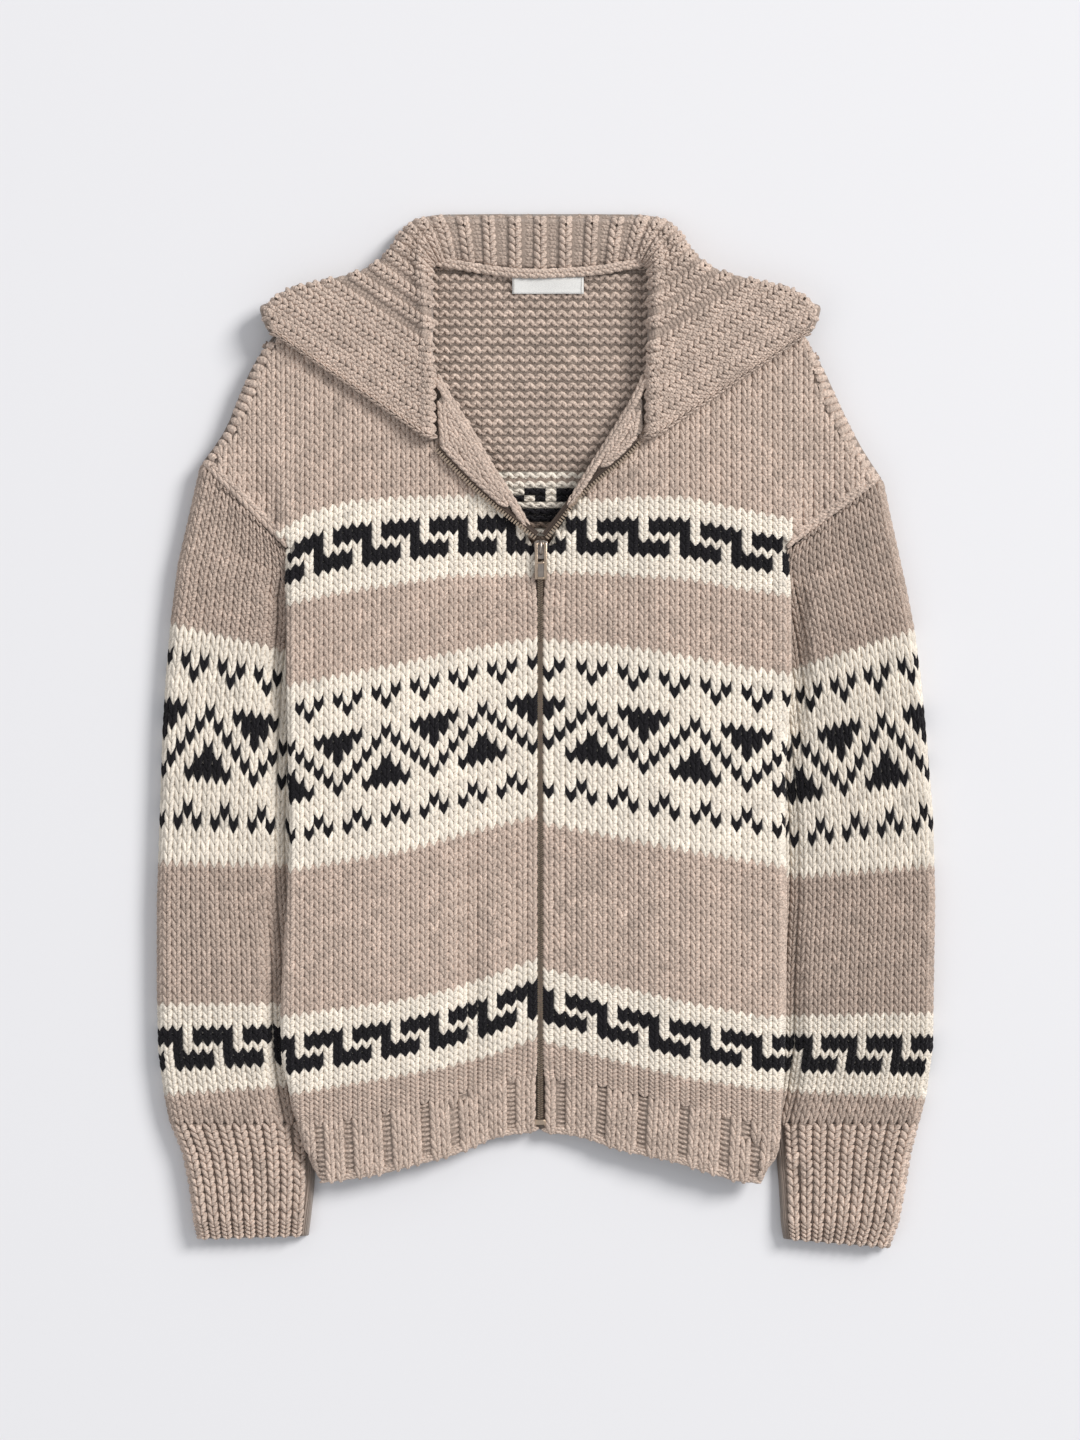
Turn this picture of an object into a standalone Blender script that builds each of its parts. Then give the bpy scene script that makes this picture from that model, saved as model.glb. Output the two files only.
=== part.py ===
# Chunky knitted zip cardigan, laid flat on its back, as separate sewn pieces.
# Blender 4.5, metres, +Z up. Sizes below are in millimetres and are scaled once, in add_solid.
# +Y runs from hem to neck, "left" and "right" are as seen from above, the origin is under the middle.
import math

import bmesh
import bpy
import numpy as np

MM = 0.001
CLOTH = 4.0            # thickness of the knitted wall
COLLAR_CLOTH = 4.4     # the ribbed collar is a little thicker
FACING_CLOTH = 3.4     # turned-out front edge
SEAM = 0.8             # space left between two sewn pieces
HEM_SEAM = 1.0         # and along the hem's stepped line
ZIP_X = -4.0           # middle of the zip
ZIP_GAP = 7.0          # between the two front edges
V_START_Y = 131.0      # where the fronts begin to open
UNDERARM_Y = 127.5
COLLAR_MIRROR_X = -4.0

# Heights of the body's upper and lower skins
TOP_AT_ZIP = 13.0
TOP_AT_SIDE = 21.0
TOP_AT_CHEST = 18.0
TUCK_CLEARANCE = 9.8   # the body's side lies this high, over the sleeve's tucked edge
FALL_CLEARANCE = 5.2   # the upper back lies this high, over the collar's fall

# Half the body's outline, one row per height: y, left side x, right side x
SIDES = (
    (-316.0, -157.0, 149.0),
    (-294.0, -168.0, 163.0),
    (-270.0, -176.0, 165.0),
    (-231.0, -184.5, 166.5),
    (-199.0, -185.5, 167.5),
    (-110.0, -181.0, 168.0),
    (-70.0, -179.0, 167.0),
    (-25.0, -180.5, 167.0),
    (37.0, -182.0, 172.5),
    (91.0, -182.0, 171.5),
    (127.5, -182.5, 170.5),
)
# Shoulder outline from the armhole's top to the neck corner: left x, left y, right x, right y
SHOULDERS = (
    (-241.0, 187.0, 235.0, 176.5),
    (-225.5, 209.0, 221.0, 198.0),
    (-215.0, 234.0, 208.5, 222.5),
    (-203.5, 258.0, 194.0, 253.0),
    (-190.0, 277.0, 181.0, 275.0),
    (-177.0, 290.0, 168.0, 289.0),
    (-163.0, 297.0, 154.0, 297.0),
    (-146.0, 303.0, 137.5, 303.0),
    (-127.0, 310.0, 119.0, 310.0),
    (-105.5, 320.0, 97.0, 320.0),
    (-86.0, 326.0, 78.0, 326.0),
)
# Hem, from the side seam to the zip: share of the width, left top y, left bottom y, right top y, bottom y
HEM_LINES = (
    (0.0, -277.0, -315.0, -276.5, -315.5),
    (0.12, -273.5, -312.5, -273.0, -313.0),
    (0.27, -270.0, -309.0, -267.0, -306.0),
    (0.42, -264.0, -303.0, -261.0, -299.0),
    (0.60, -258.0, -296.5, -255.0, -294.0),
    (0.70, -252.0, -291.0, -251.5, -290.0),
    (0.80, -247.0, -284.0, -248.0, -284.5),
    (0.90, -244.5, -281.5, -245.0, -281.5),
    (1.0, -243.5, -280.0, -243.5, -281.0),
)
# Recessed purl lines of the hem: x at the left front, x at the right front
HEM_RECESSES = ((-160.0, 13.0), (-137.0, 41.0), (-113.0, 66.0), (-85.0, 94.0), (-61.0, 122.0), (-25.0, 143.0))
RECESS_HALF = 3.2
RECESS_DEPTH = 1.7

# Opening of the front: the line where each front folds outwards, from the zip up
V_FOLD = (
    (-6.5, 133.0, -1.5, 133.0),
    (-13.5, 146.5, 5.5, 144.0),
    (-26.0, 167.5, 19.0, 165.0),
    (-37.0, 184.0, 30.0, 183.0),
    (-52.0, 210.0, 46.0, 208.0),
    (-66.0, 232.0, 60.0, 231.0),
    (-75.5, 248.0, 68.5, 248.0),
)
# The zip's free edge on the folded-out fronts, from the slider up
V_TEETH = (
    (-8.0, 134.5, 1.0, 134.5),
    (-19.5, 143.5, 10.5, 146.5),
    (-35.5, 156.0, 21.5, 160.5),
    (-52.0, 170.5, 37.0, 175.0),
    (-66.0, 184.5, 53.0, 188.0),
    (-76.0, 195.0, 65.0, 200.0),
)
EDGE_INSET = 4.6       # the fronts stop this far outside the fold line
FACING_START_Y = {-1: 157.0, 1: 182.0}
FACING_END_Y = 237.0

# Sleeves: outer x and y, inner x and y, height outside, height at the tucked edge
SLEEVE_LEFT = (
    (-241.6, 186.6, -183.2, 126.6, 17.0, 17.0),
    (-246.5, 165.0, -183.0, 117.0, 16.5, 16.0),
    (-252.0, 141.0, -182.9, 105.0, 16.0, 14.0),
    (-257.5, 117.0, -182.7, 88.0, 16.0, 10.5),
    (-262.5, 79.0, -172.0, 66.0, 15.5, 9.0),
    (-266.0, 40.0, -161.0, 36.0, 15.0, 9.0),
    (-268.5, 0.0, -159.0, 0.0, 15.0, 9.0),
    (-270.5, -60.0, -158.0, -60.0, 15.0, 9.0),
    (-272.5, -120.0, -158.0, -120.0, 15.0, 9.0),
    (-272.5, -180.0, -158.5, -180.0, 15.0, 9.0),
    (-271.5, -225.0, -159.0, -225.0, 15.0, 9.0),
    (-267.5, -255.0, -159.5, -255.0, 14.5, 9.0),
    (-263.5, -275.0, -160.0, -275.0, 13.5, 9.0),
)
SLEEVE_RIGHT = (
    (235.8, 175.8, 171.4, 126.6, 17.0, 17.0),
    (241.0, 150.0, 171.5, 116.0, 16.5, 16.0),
    (247.0, 123.0, 171.8, 103.0, 16.0, 14.0),
    (252.5, 98.0, 172.3, 86.0, 16.0, 10.5),
    (258.0, 70.0, 163.0, 62.0, 15.5, 9.0),
    (262.5, 36.0, 155.0, 33.0, 15.0, 9.0),
    (266.0, 0.0, 153.0, 0.0, 15.0, 9.0),
    (271.0, -60.0, 152.0, -60.0, 15.0, 9.0),
    (272.5, -119.0, 152.0, -119.0, 15.0, 9.0),
    (271.5, -180.0, 153.0, -180.0, 15.0, 9.0),
    (271.0, -222.0, 155.0, -222.0, 15.0, 9.0),
    (266.5, -255.0, 157.0, -255.0, 14.5, 9.0),
    (261.5, -275.0, 158.5, -275.0, 13.5, 9.0),
)
CUFF_LEFT = (
    (-262.5, -275.6, -160.0, -275.6, 13.0, 9.0),
    (-254.0, -296.0, -160.0, -296.0, 13.5, 9.0),
    (-249.5, -318.0, -160.5, -318.0, 14.0, 10.5),
    (-246.0, -345.0, -162.5, -342.0, 14.0, 12.5),
    (-243.5, -356.5, -164.5, -354.5, 12.0, 11.0),
)
CUFF_RIGHT = (
    (260.5, -275.6, 158.5, -275.6, 13.0, 9.0),
    (255.0, -296.0, 160.0, -296.0, 13.5, 9.0),
    (251.5, -318.0, 161.5, -318.0, 14.0, 10.5),
    (246.5, -345.0, 162.5, -346.0, 14.0, 12.5),
    (240.0, -362.5, 164.5, -356.5, 12.0, 11.0),
)
TUCKED_IF_LOWER_BY = 2.0
TUCK_STARTS, TUCK_ENDS = 17.0, 3.0     # before the body's side
END_ANGLES = (0.0, 30.0, 60.0)
TUBE_LEAST_RADIUS = 0.45
TUBE_TOP_POINTS = 12
TUBE_FLOOR_POINTS = 7
POINTS_PER_RIB = 4
CUFF_RIBS = 9
CUFF_RIB_DEPTH = 1.5

LIES_FLAT, HANGS_OVER, GOES_UNDER = 0, 1, 2
COLLAR_STEPS = (1, 2, 2, 1, 1, 1, 2, 2, 1, 1)
# The collar is a band round the neck, one row per section from the front end to the middle of the
# back: seam x y, roll x y, outline x y, hidden edge x y, seam z, crest z, leaf z, how it ends
COLLAR = (
    (-79.0, 203.0, -88.0, 207.0, -193.0, 278.0, -193.0, 278.0, 20.6, 24.5, 21.4, LIES_FLAT),
    (-79.0, 222.5, -88.0, 226.0, -198.0, 295.0, -201.0, 288.0, 20.6, 25.0, 21.4, HANGS_OVER),
    (-79.0, 243.5, -88.0, 246.0, -182.0, 308.5, -190.0, 294.0, 20.6, 25.0, 21.4, GOES_UNDER),
    (-79.0, 266.5, -88.0, 269.0, -156.0, 315.5, -173.0, 261.0, 17.0, 25.0, 21.4, GOES_UNDER),
    (-79.0, 288.5, -88.0, 291.0, -132.5, 322.0, -140.5, 237.0, 14.0, 24.5, 21.4, GOES_UNDER),
    (-79.5, 306.5, -89.0, 312.0, -116.0, 332.0, -111.0, 226.0, 13.5, 24.0, 21.2, GOES_UNDER),
    (-79.5, 318.0, -90.0, 327.5, -108.5, 341.0, -99.5, 223.5, 12.5, 23.0, 20.0, GOES_UNDER),
    (-78.5, 325.0, -89.5, 338.0, -102.0, 349.5, -92.5, 224.5, 11.0, 20.0, 17.5, GOES_UNDER),
    (-75.0, 327.5, -84.0, 346.0, -93.0, 357.5, -84.0, 225.0, 9.0, 16.0, 14.0, GOES_UNDER),
    (-66.0, 327.5, -72.0, 350.0, -77.0, 360.0, -71.5, 224.0, 7.6, 12.8, 11.6, GOES_UNDER),
    (-49.5, 326.0, -51.5, 350.5, -53.0, 360.0, -50.5, 222.5, 7.4, 12.0, 11.0, GOES_UNDER),
    (-27.5, 322.5, -28.0, 350.5, -28.5, 360.0, -27.5, 221.0, 7.4, 12.0, 11.0, GOES_UNDER),
    (-4.0, 321.5, -4.0, 350.5, -4.0, 360.0, -4.0, 221.0, 7.4, 12.0, 11.0, GOES_UNDER),
)
COLLAR_HALF_RIBS = 16
COLLAR_RIB_DEPTH = 1.3
COLLAR_LAST_ROW = len(COLLAR) - 1
# Lower limit of the zone where the back lies over the collar's fall: distance from the middle, y
FALL_LIMIT = ((0.0, 200.0), (80.0, 200.0), (108.0, 203.0), (138.0, 212.0), (170.0, 232.0), (190.0, 252.0))
FALL_STEP = 25.0

CHAIN_POINTS = 12
CHAIN_WIDTH = 5.6
CHAIN_Z = (8.8, 12.4)
CHAIN_BOTTOM_Y = -272.0
TAPE_WIDTH = 20.0
TAPE_Z = (7.6, 8.4)
STOP_WIDTH, STOP_LENGTH = 6.0, 4.6
STOP_Z = (7.8, 12.9)
OPEN_TAPE_WIDTH = 4.4
TAPE_REACH = 3.0
TEETH_WIDTH = 2.4
TEETH_TOP = 3.6
SLIDER_X = -3.6
SLIDER_Y = (119.5, 133.0)
SLIDER_BASE_Z = 13.5
PULL_HINGE_Y = 130.2
PULL_HINGE_Z = 16.2
PULL_LENGTH = 26.0
LABEL_SIZE = (50.0, 12.0)
LABEL_CENTRE = (1.4, 311.5)

WOOL = (0.47, 0.39, 0.33, 1.0)
TAPE = (0.18, 0.13, 0.11, 1.0)
METAL = (0.50, 0.48, 0.45, 1.0)
WHITE = (0.86, 0.85, 0.82, 1.0)


def clear_scene():
    for old in list(bpy.data.objects):
        bpy.data.objects.remove(old, do_unlink=True)


def material(name, colour, roughness, metallic):
    made = bpy.data.materials.new(name)
    made.use_nodes = True
    shader = made.node_tree.nodes["Principled BSDF"]
    shader.inputs["Base Color"].default_value = colour
    shader.inputs["Roughness"].default_value = roughness
    shader.inputs["Metallic"].default_value = metallic
    made.diffuse_color = colour
    return made


def add_solid(name, points, faces, colour, roughness=0.9, metallic=0.0, smooth=50.0):
    mesh = bpy.data.meshes.new(name)
    mesh.from_pydata([tuple(float(c) * MM for c in p) for p in points], [], faces)
    work = bmesh.new()
    work.from_mesh(mesh)
    bmesh.ops.recalc_face_normals(work, faces=work.faces)
    if work.calc_volume(signed=True) < 0:
        bmesh.ops.reverse_faces(work, faces=work.faces)
    bmesh.ops.triangulate(work, faces=work.faces)
    work.to_mesh(mesh)
    work.free()
    mesh.shade_smooth()
    mesh.set_sharp_from_angle(angle=math.radians(smooth))
    made = bpy.data.objects.new(name, mesh)
    bpy.context.scene.collection.objects.link(made)
    mesh.materials.append(material("mat_" + name, colour, roughness, metallic))
    return made


def smooth_step(low, high, value):
    share = np.clip((np.asarray(value, float) - low) / (high - low), 0.0, 1.0)
    return share * share * (3.0 - 2.0 * share)


def column(rows, index):
    return np.array([row[index] for row in rows], float)


def along(points, count=None, at=None):
    """Points along a line of corners, evenly spaced or at the given shares of its length."""
    points = np.asarray(points, float)
    steps = np.linalg.norm(np.diff(points, axis=0), axis=1)
    length = np.concatenate([[0.0], np.cumsum(steps)])
    where = np.linspace(0.0, 1.0, count) if at is None else np.asarray(at, float)
    cols = [np.interp(where * length[-1], length, points[:, k]) for k in range(points.shape[1])]
    return np.stack(cols, axis=1)


def rounded(points, per_span=4):
    """A smooth line through its corners, as Catmull-Rom spans with that many steps each."""
    p = np.asarray(points, float)
    steps = np.broadcast_to(per_span, len(p) - 1)
    p = np.vstack([2 * p[0] - p[1], p, 2 * p[-1] - p[-2]])
    out = []
    for k in range(1, len(p) - 2):
        for t in np.arange(steps[k - 1]) / steps[k - 1]:
            a, b, c, d = p[k - 1], p[k], p[k + 1], p[k + 2]
            out.append(0.5 * (2 * b + (c - a) * t + (2 * a - 5 * b + 4 * c - d) * t * t
                              + (3 * b - a - 3 * c + d) * t ** 3))
    out.append(p[-2])
    return np.array(out)


def wall_faces(rows, cols, closed_cols=False):
    """Faces of a wall whose outer grid comes first and its inner grid second."""
    faces = []
    inner = rows * cols
    last = cols if closed_cols else cols - 1

    def at(i, j, side):
        return side * inner + i * cols + j % cols

    for i in range(rows - 1):
        for j in range(last):
            faces.append((at(i, j, 0), at(i, j + 1, 0), at(i + 1, j + 1, 0), at(i + 1, j, 0)))
            faces.append((at(i, j, 1), at(i + 1, j, 1), at(i + 1, j + 1, 1), at(i, j + 1, 1)))
    for j in range(last):
        faces.append((at(0, j, 0), at(0, j, 1), at(0, j + 1, 1), at(0, j + 1, 0)))
        faces.append((at(rows - 1, j, 0), at(rows - 1, j + 1, 0), at(rows - 1, j + 1, 1), at(rows - 1, j, 1)))
    if not closed_cols:
        for i in range(rows - 1):
            faces.append((at(i, 0, 0), at(i + 1, 0, 0), at(i + 1, 0, 1), at(i, 0, 1)))
            faces.append((at(i, cols - 1, 0), at(i, cols - 1, 1), at(i + 1, cols - 1, 1), at(i + 1, cols - 1, 0)))
    return faces


def add_wall(name, outer, inner, colour=WOOL, closed_cols=False, **finish):
    rows, cols = outer.shape[:2]
    points = np.concatenate([outer.reshape(-1, 3), inner.reshape(-1, 3)])
    return add_solid(name, points, wall_faces(rows, cols, closed_cols), colour, **finish)


def side_x(y, side):
    """The body's side at height y; side is -1 on the left and 1 on the right."""
    return np.interp(y, column(SIDES, 0), column(SIDES, 1 if side < 0 else 2))


def sleeve_edge_x(y, side):
    """The sleeve's tucked edge at height y."""
    rows = (SLEEVE_LEFT if side < 0 else SLEEVE_RIGHT)[3:] + (CUFF_LEFT if side < 0 else CUFF_RIGHT)[1:]
    rows = sorted(rows, key=lambda row: row[3])
    return np.interp(y, column(rows, 3), column(rows, 2))


def body_top(x, y):
    """Height of the fronts' upper skin, before it rounds down at the outline."""
    side = np.where(x < ZIP_X, -1, 1)
    edge = np.where(side < 0, side_x(y, -1), side_x(y, 1))
    share = np.clip(np.abs((x - ZIP_X) / (edge - ZIP_X)), 0.0, 1.3)
    low = TOP_AT_ZIP + (TOP_AT_SIDE - TOP_AT_ZIP) * smooth_step(0.04, 0.62, share)
    low = low - 1.5 * smooth_step(-255.0, -300.0, y)
    return low + (TOP_AT_CHEST - low) * smooth_step(122.0, 195.0, y)


def body_under(x, y):
    """Height of the back's lower skin: flat on the ground but for the sleeves and the collar's fall."""
    lift = np.zeros(np.broadcast(x, y).shape)
    for side in (-1, 1):
        edge = sleeve_edge_x(y, side)
        over = 1.0 - smooth_step(13.0, 32.0, (x - edge) * -side)
        lift = np.maximum(lift, TUCK_CLEARANCE * over * smooth_step(126.0, 100.0, y))
    reach = np.abs(x - COLLAR_MIRROR_X)
    limit = np.interp(reach, column(FALL_LIMIT, 0), column(FALL_LIMIT, 1))
    fall = FALL_CLEARANCE * smooth_step(-FALL_STEP, 0.0, y - limit)
    return np.maximum(lift, fall)


def outline(side):
    """The body's rounded outline on one side, from the hem's corner to the neck corner."""
    ys = np.linspace(SIDES[0][0] - 2.0, UNDERARM_Y, 60)
    lower = np.stack([side_x(ys, side), ys], axis=1)
    first = 0 if side < 0 else 2
    upper = rounded(np.stack([column(SHOULDERS, first), column(SHOULDERS, first + 1)], axis=1))
    return lower, upper


def edge_frame(x, y):
    """Distance from the outline and the outward direction there."""
    best = np.full(x.shape, 1e9)
    out = np.zeros(x.shape + (2,))
    for side in (-1, 1):
        for line in outline(side):
            a, b = line[:-1], line[1:]
            way = b - a
            size = (way ** 2).sum(1)
            normal = np.stack([way[:, 1], -way[:, 0]], axis=1) / np.sqrt(size)[:, None]
            normal *= side
            corner = np.vstack([normal[:1], (normal[:-1] + normal[1:]) / 2, normal[-1:]])
            px, py = x[..., None], y[..., None]
            t = np.clip(((px - a[:, 0]) * way[:, 0] + (py - a[:, 1]) * way[:, 1]) / size, 0.0, 1.0)
            gap = np.hypot(px - a[:, 0] - t * way[:, 0], py - a[:, 1] - t * way[:, 1])
            k = gap.argmin(-1)
            near = np.take_along_axis(gap, k[..., None], -1)[..., 0]
            tk = np.take_along_axis(t, k[..., None], -1)
            direction = corner[k] * (1 - tk) + corner[k + 1] * tk
            direction /= np.linalg.norm(direction, axis=-1)[..., None]
            take = near < best
            best = np.where(take, near, best)
            out = np.where(take[..., None], direction, out)
    return best, out


def shell(xy, upper, raised=None):
    """Outer and inner points of a body panel over a grid of places; upper is True for the fronts."""
    x, y = xy[..., 0], xy[..., 1]
    top, under = body_top(x, y), body_under(x, y)
    radius = np.clip((top - under) / 2.0, CLOTH + 1.2, 9.0)
    gap, direction = edge_frame(x, y)
    lean = np.clip((radius - gap) / radius, 0.0, 1.0)
    rise = np.sqrt(1.0 - lean ** 2)
    sign = 1.0 if upper else -1.0
    skin = top if upper else under
    z = skin - sign * radius * (1.0 - rise)
    middle_limit = (top + under) / 2.0 + sign * SEAM / 2.0
    z = np.maximum(z, middle_limit) if upper else np.minimum(z, middle_limit)
    outer = np.stack([x, y, z], axis=-1)
    normal = np.stack([direction[..., 0] * lean, direction[..., 1] * lean, sign * rise], axis=-1)
    inner = outer - normal * CLOTH
    limit = middle_limit[..., None] * np.array([0.0, 0.0, 1.0])
    if upper:
        inner[..., 2] = np.maximum(inner[..., 2], limit[..., 2])
    else:
        inner[..., 2] = np.minimum(inner[..., 2], limit[..., 2])
    if raised is not None:
        outer = outer + normal * raised[..., None]
    return outer, inner


def edge_shares(length, count, start_edge, end_edge):
    """Shares across a panel, close together beside an edge that rounds over."""
    near = np.array([0.0, 0.5, 1.6, 3.4, 6.0, 9.5]) / length
    head = near if start_edge else np.array([0.0])
    tail = 1.0 - near[::-1] if end_edge else np.array([1.0])
    inside = count - len(head) - len(tail)
    middle = np.linspace(head[-1], tail[0], inside + 2)[1:-1]
    return np.concatenate([head, middle, tail])


def patch(left, right, bottom, top, shares, heights):
    """A grid between four edge lines; left and right are points for each height."""
    rows = []
    for i, v in enumerate(heights):
        u = shares[i]
        lo, hi = along(bottom, at=u), along(top, at=u)
        u = u[:, None]
        line = (1 - u) * left[i] + u * right[i]
        edge = (1 - v) * lo + v * hi
        corners = (1 - v) * ((1 - u) * bottom[0] + u * bottom[-1]) + v * ((1 - u) * top[0] + u * top[-1])
        rows.append(line + edge - corners)
    return np.array(rows)


UNDERARM_SHARE = 0.62
LOWER_ROWS = 11
UPPER_ROWS = 8
PANEL_HEIGHTS = np.concatenate([
    np.linspace(0.0, UNDERARM_SHARE, LOWER_ROWS),
    np.linspace(UNDERARM_SHARE, 0.93, UPPER_ROWS)[1:],
    [0.955, 0.973, 0.986, 0.994, 1.0],
])


def two_stage(lower, upper, heights):
    """Points up an edge that changes its course at the underarm."""
    low = heights[heights <= UNDERARM_SHARE] / UNDERARM_SHARE
    high = (heights[heights > UNDERARM_SHARE] - UNDERARM_SHARE) / (1 - UNDERARM_SHARE)
    return np.vstack([along(lower, at=low), along(upper, at=high)])


def hem_line(side, lower):
    """A hem line from the side to the zip."""
    index = (1 if side < 0 else 3) + (1 if lower else 0)
    shares = column(HEM_LINES, 0)
    ys = column(HEM_LINES, index)
    start = side_x(ys[0], side)
    end = ZIP_X + side * ZIP_GAP / 2.0
    xs = start + (end - start) * shares
    return np.stack([xs, ys], axis=1)


def outer_edge(side):
    bottom_y = HEM_LINES[0][1 if side < 0 else 3]
    ys = np.linspace(bottom_y, UNDERARM_Y, 30)
    lower = np.stack([side_x(ys, side), ys], axis=1)
    first = 0 if side < 0 else 2
    armhole = np.array([lower[-1], (SHOULDERS[0][first], SHOULDERS[0][first + 1])])
    return lower, armhole


def shoulder_line(side):
    first = 0 if side < 0 else 2
    return rounded(np.stack([column(SHOULDERS, first), column(SHOULDERS, first + 1)], axis=1))


def neck_edge(side):
    """A front's inner edge: the zip, then the turned-out fold, then the neckline."""
    first = 0 if side < 0 else 2
    x = ZIP_X + side * ZIP_GAP / 2.0
    zip_edge = np.array([(x, HEM_LINES[-1][1]), (x, V_START_Y - 6.0)])
    fold = np.stack([column(V_FOLD, first), column(V_FOLD, first + 1)], axis=1)
    way = np.gradient(fold, axis=0)
    out = np.stack([way[:, 1], -way[:, 0]], axis=1) * side / np.linalg.norm(way, axis=1)[:, None]
    opened = fold + out * EDGE_INSET
    neck_x = SHOULDERS[-1][first]
    opened[:, 0] = np.where(side * opened[:, 0] > side * neck_x, neck_x, opened[:, 0])
    neck_start = (neck_x, V_FOLD[-1][first + 1] + 8.0)
    upper = np.vstack([zip_edge[-1:], opened, [neck_start, (neck_x, SHOULDERS[-1][first + 1])]])
    return zip_edge, upper


def build_front(side, name):
    lower, armhole = outer_edge(side)
    zip_edge, opened = neck_edge(side)
    left = two_stage(lower, armhole, PANEL_HEIGHTS)
    right = two_stage(zip_edge, opened, PANEL_HEIGHTS)
    bottom = hem_line(side, lower=False)
    top = shoulder_line(side)
    shares = [edge_shares(np.linalg.norm(b - a), 15, True, False) for a, b in zip(left, right)]
    grid = patch(left, right, bottom, top, shares, PANEL_HEIGHTS)
    outer, inner = shell(grid, upper=True)
    add_wall(name, outer, inner)


def build_back():
    heights = PANEL_HEIGHTS
    ends = []
    for side in (-1, 1):
        lower, armhole = outer_edge(side)
        ends.append(two_stage(lower, armhole, heights))
    bottom = np.vstack([hem_line(-1, False), hem_line(1, False)[::-1]])
    neck_centre = np.array([(-66.0, 323.0), (-45.0, 320.0), (-4.0, 317.5), (37.0, 320.0), (58.0, 323.0)])
    top = np.vstack([shoulder_line(-1), neck_centre, shoulder_line(1)[::-1]])
    shares = [edge_shares(np.linalg.norm(b - a), 25, True, True) for a, b in zip(*ends)]
    grid = patch(ends[0], ends[1], bottom, top, shares, heights)
    outer, inner = shell(grid, upper=False)
    add_wall("back", outer, inner)


def hem_shares(side):
    """Shares across a hem front, with four columns at each recess, and the recess depth there."""
    start, end = side_x(-295.0, side), ZIP_X + side * ZIP_GAP / 2.0
    width = abs(end - start)
    shares = [0.0, 0.5 / width, 1.6 / width, 3.4 / width, 6.0 / width]
    depths = [0.0] * len(shares)
    places = sorted(abs(row[0 if side < 0 else 1] - start) / width for row in HEM_RECESSES)
    for place in places:
        half = RECESS_HALF / width
        shares += [place - half, place - half * 0.35, place + half * 0.35, place + half]
        depths += [0.0, -RECESS_DEPTH, -RECESS_DEPTH, 0.0]
    shares.append(1.0)
    depths.append(0.0)
    order = np.argsort(shares)
    return np.array(shares)[order], np.array(depths)[order]


def build_hem_front(side, name):
    top_line, bottom_line = hem_line(side, False), hem_line(side, True)
    shares, depths = hem_shares(side)
    heights = np.array([0.0, 0.06, 0.4, 0.75, 0.94, 1.0])
    low, high = along(bottom_line, at=shares), along(top_line, at=shares)
    grid = np.array([low + (high - low) * h for h in heights])
    grid[-1, :, 1] -= HEM_SEAM
    raised = np.tile(depths, (len(heights), 1)) * smooth_step(1.0, 0.9, heights)[:, None]
    edge_roll = np.array([-0.7, 0.0, 0.0, 0.0, 0.0, 0.0])[:, None]
    outer, inner = shell(grid, upper=True, raised=raised + edge_roll)
    add_wall(name, outer, inner)


def build_hem_back():
    top_line = np.vstack([hem_line(-1, False), hem_line(1, False)[::-1]])
    bottom_line = np.vstack([hem_line(-1, True), hem_line(1, True)[::-1]])
    heights = np.array([0.0, 0.25, 0.5, 0.75, 1.0])
    shares = edge_shares(320.0, 27, True, True)
    low, high = along(bottom_line, at=shares), along(top_line, at=shares)
    grid = np.array([low + (high - low) * h for h in heights])
    grid[-1, :, 1] -= HEM_SEAM
    outer, inner = shell(grid, upper=False)
    add_wall("hem_back", outer, inner)


def rounded_end(radius, turn):
    """Points round a tube's end from its middle height, upwards for turn 1 and downwards for -1."""
    small = max(radius - CLOTH, TUBE_LEAST_RADIUS)
    for angle in np.radians(END_ANGLES):
        reach, rise = math.cos(angle), turn * math.sin(angle)
        yield radius - radius * reach, radius + radius * rise, radius - small * reach, radius + small * rise


def ring(row, side, top_shares, rib_depths):
    """One closed section of a sleeve or cuff: outer and inner points."""
    outer_end, inner_end = np.array(row[0:2]), np.array(row[2:4])
    high, low = row[4], row[5]
    length = np.linalg.norm(inner_end - outer_end)
    covered = abs(side_x(inner_end[1], side) - inner_end[0])
    tucked = low < high - TUCKED_IF_LOWER_BY
    start = length - covered - TUCK_STARTS if tucked else length * 0.4
    stop = length - covered - TUCK_ENDS if tucked else length * 0.9
    out, inn = [], []
    r_out, r_in = high / 2.0, low / 2.0
    for s, z, si, zi in rounded_end(r_out, 1.0):
        out.append((s, z))
        inn.append((si, zi))
    for share, depth in zip(top_shares, rib_depths):
        s = r_out + (length - r_out - r_in) * share
        height = high + (low - high) * float(smooth_step(start, stop, s))
        out.append((s, height + depth))
        inn.append((s, height - CLOTH))
    for s, z, si, zi in reversed(list(rounded_end(r_in, 1.0))):
        out.append((length - s, z))
        inn.append((length - si, zi))
    for s, z, si, zi in list(rounded_end(r_in, -1.0))[1:]:
        out.append((length - s, z))
        inn.append((length - si, zi))
    for share in np.linspace(1.0, 0.0, TUBE_FLOOR_POINTS):
        s = r_out + (length - r_out - r_in) * share
        out.append((s, 0.0))
        inn.append((s, CLOTH))
    for s, z, si, zi in reversed(list(rounded_end(r_out, -1.0))[1:]):
        out.append((s, z))
        inn.append((si, zi))
    way = (inner_end - outer_end) / length
    outer = np.array([(*(outer_end + way * s), z) for s, z in out])
    inner = np.array([(*(outer_end + way * s), z) for s, z in inn])
    inner[:, 2] = np.clip(inner[:, 2], TUBE_LEAST_RADIUS, None)
    return outer, inner


def build_tube(name, rows, side, top_shares, rib_depths):
    rings = [ring(row, side, top_shares, rib_depths) for row in rows]
    outer = np.array([r[0] for r in rings])
    inner = np.array([r[1] for r in rings])
    add_wall(name, outer, inner, closed_cols=True)


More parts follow.
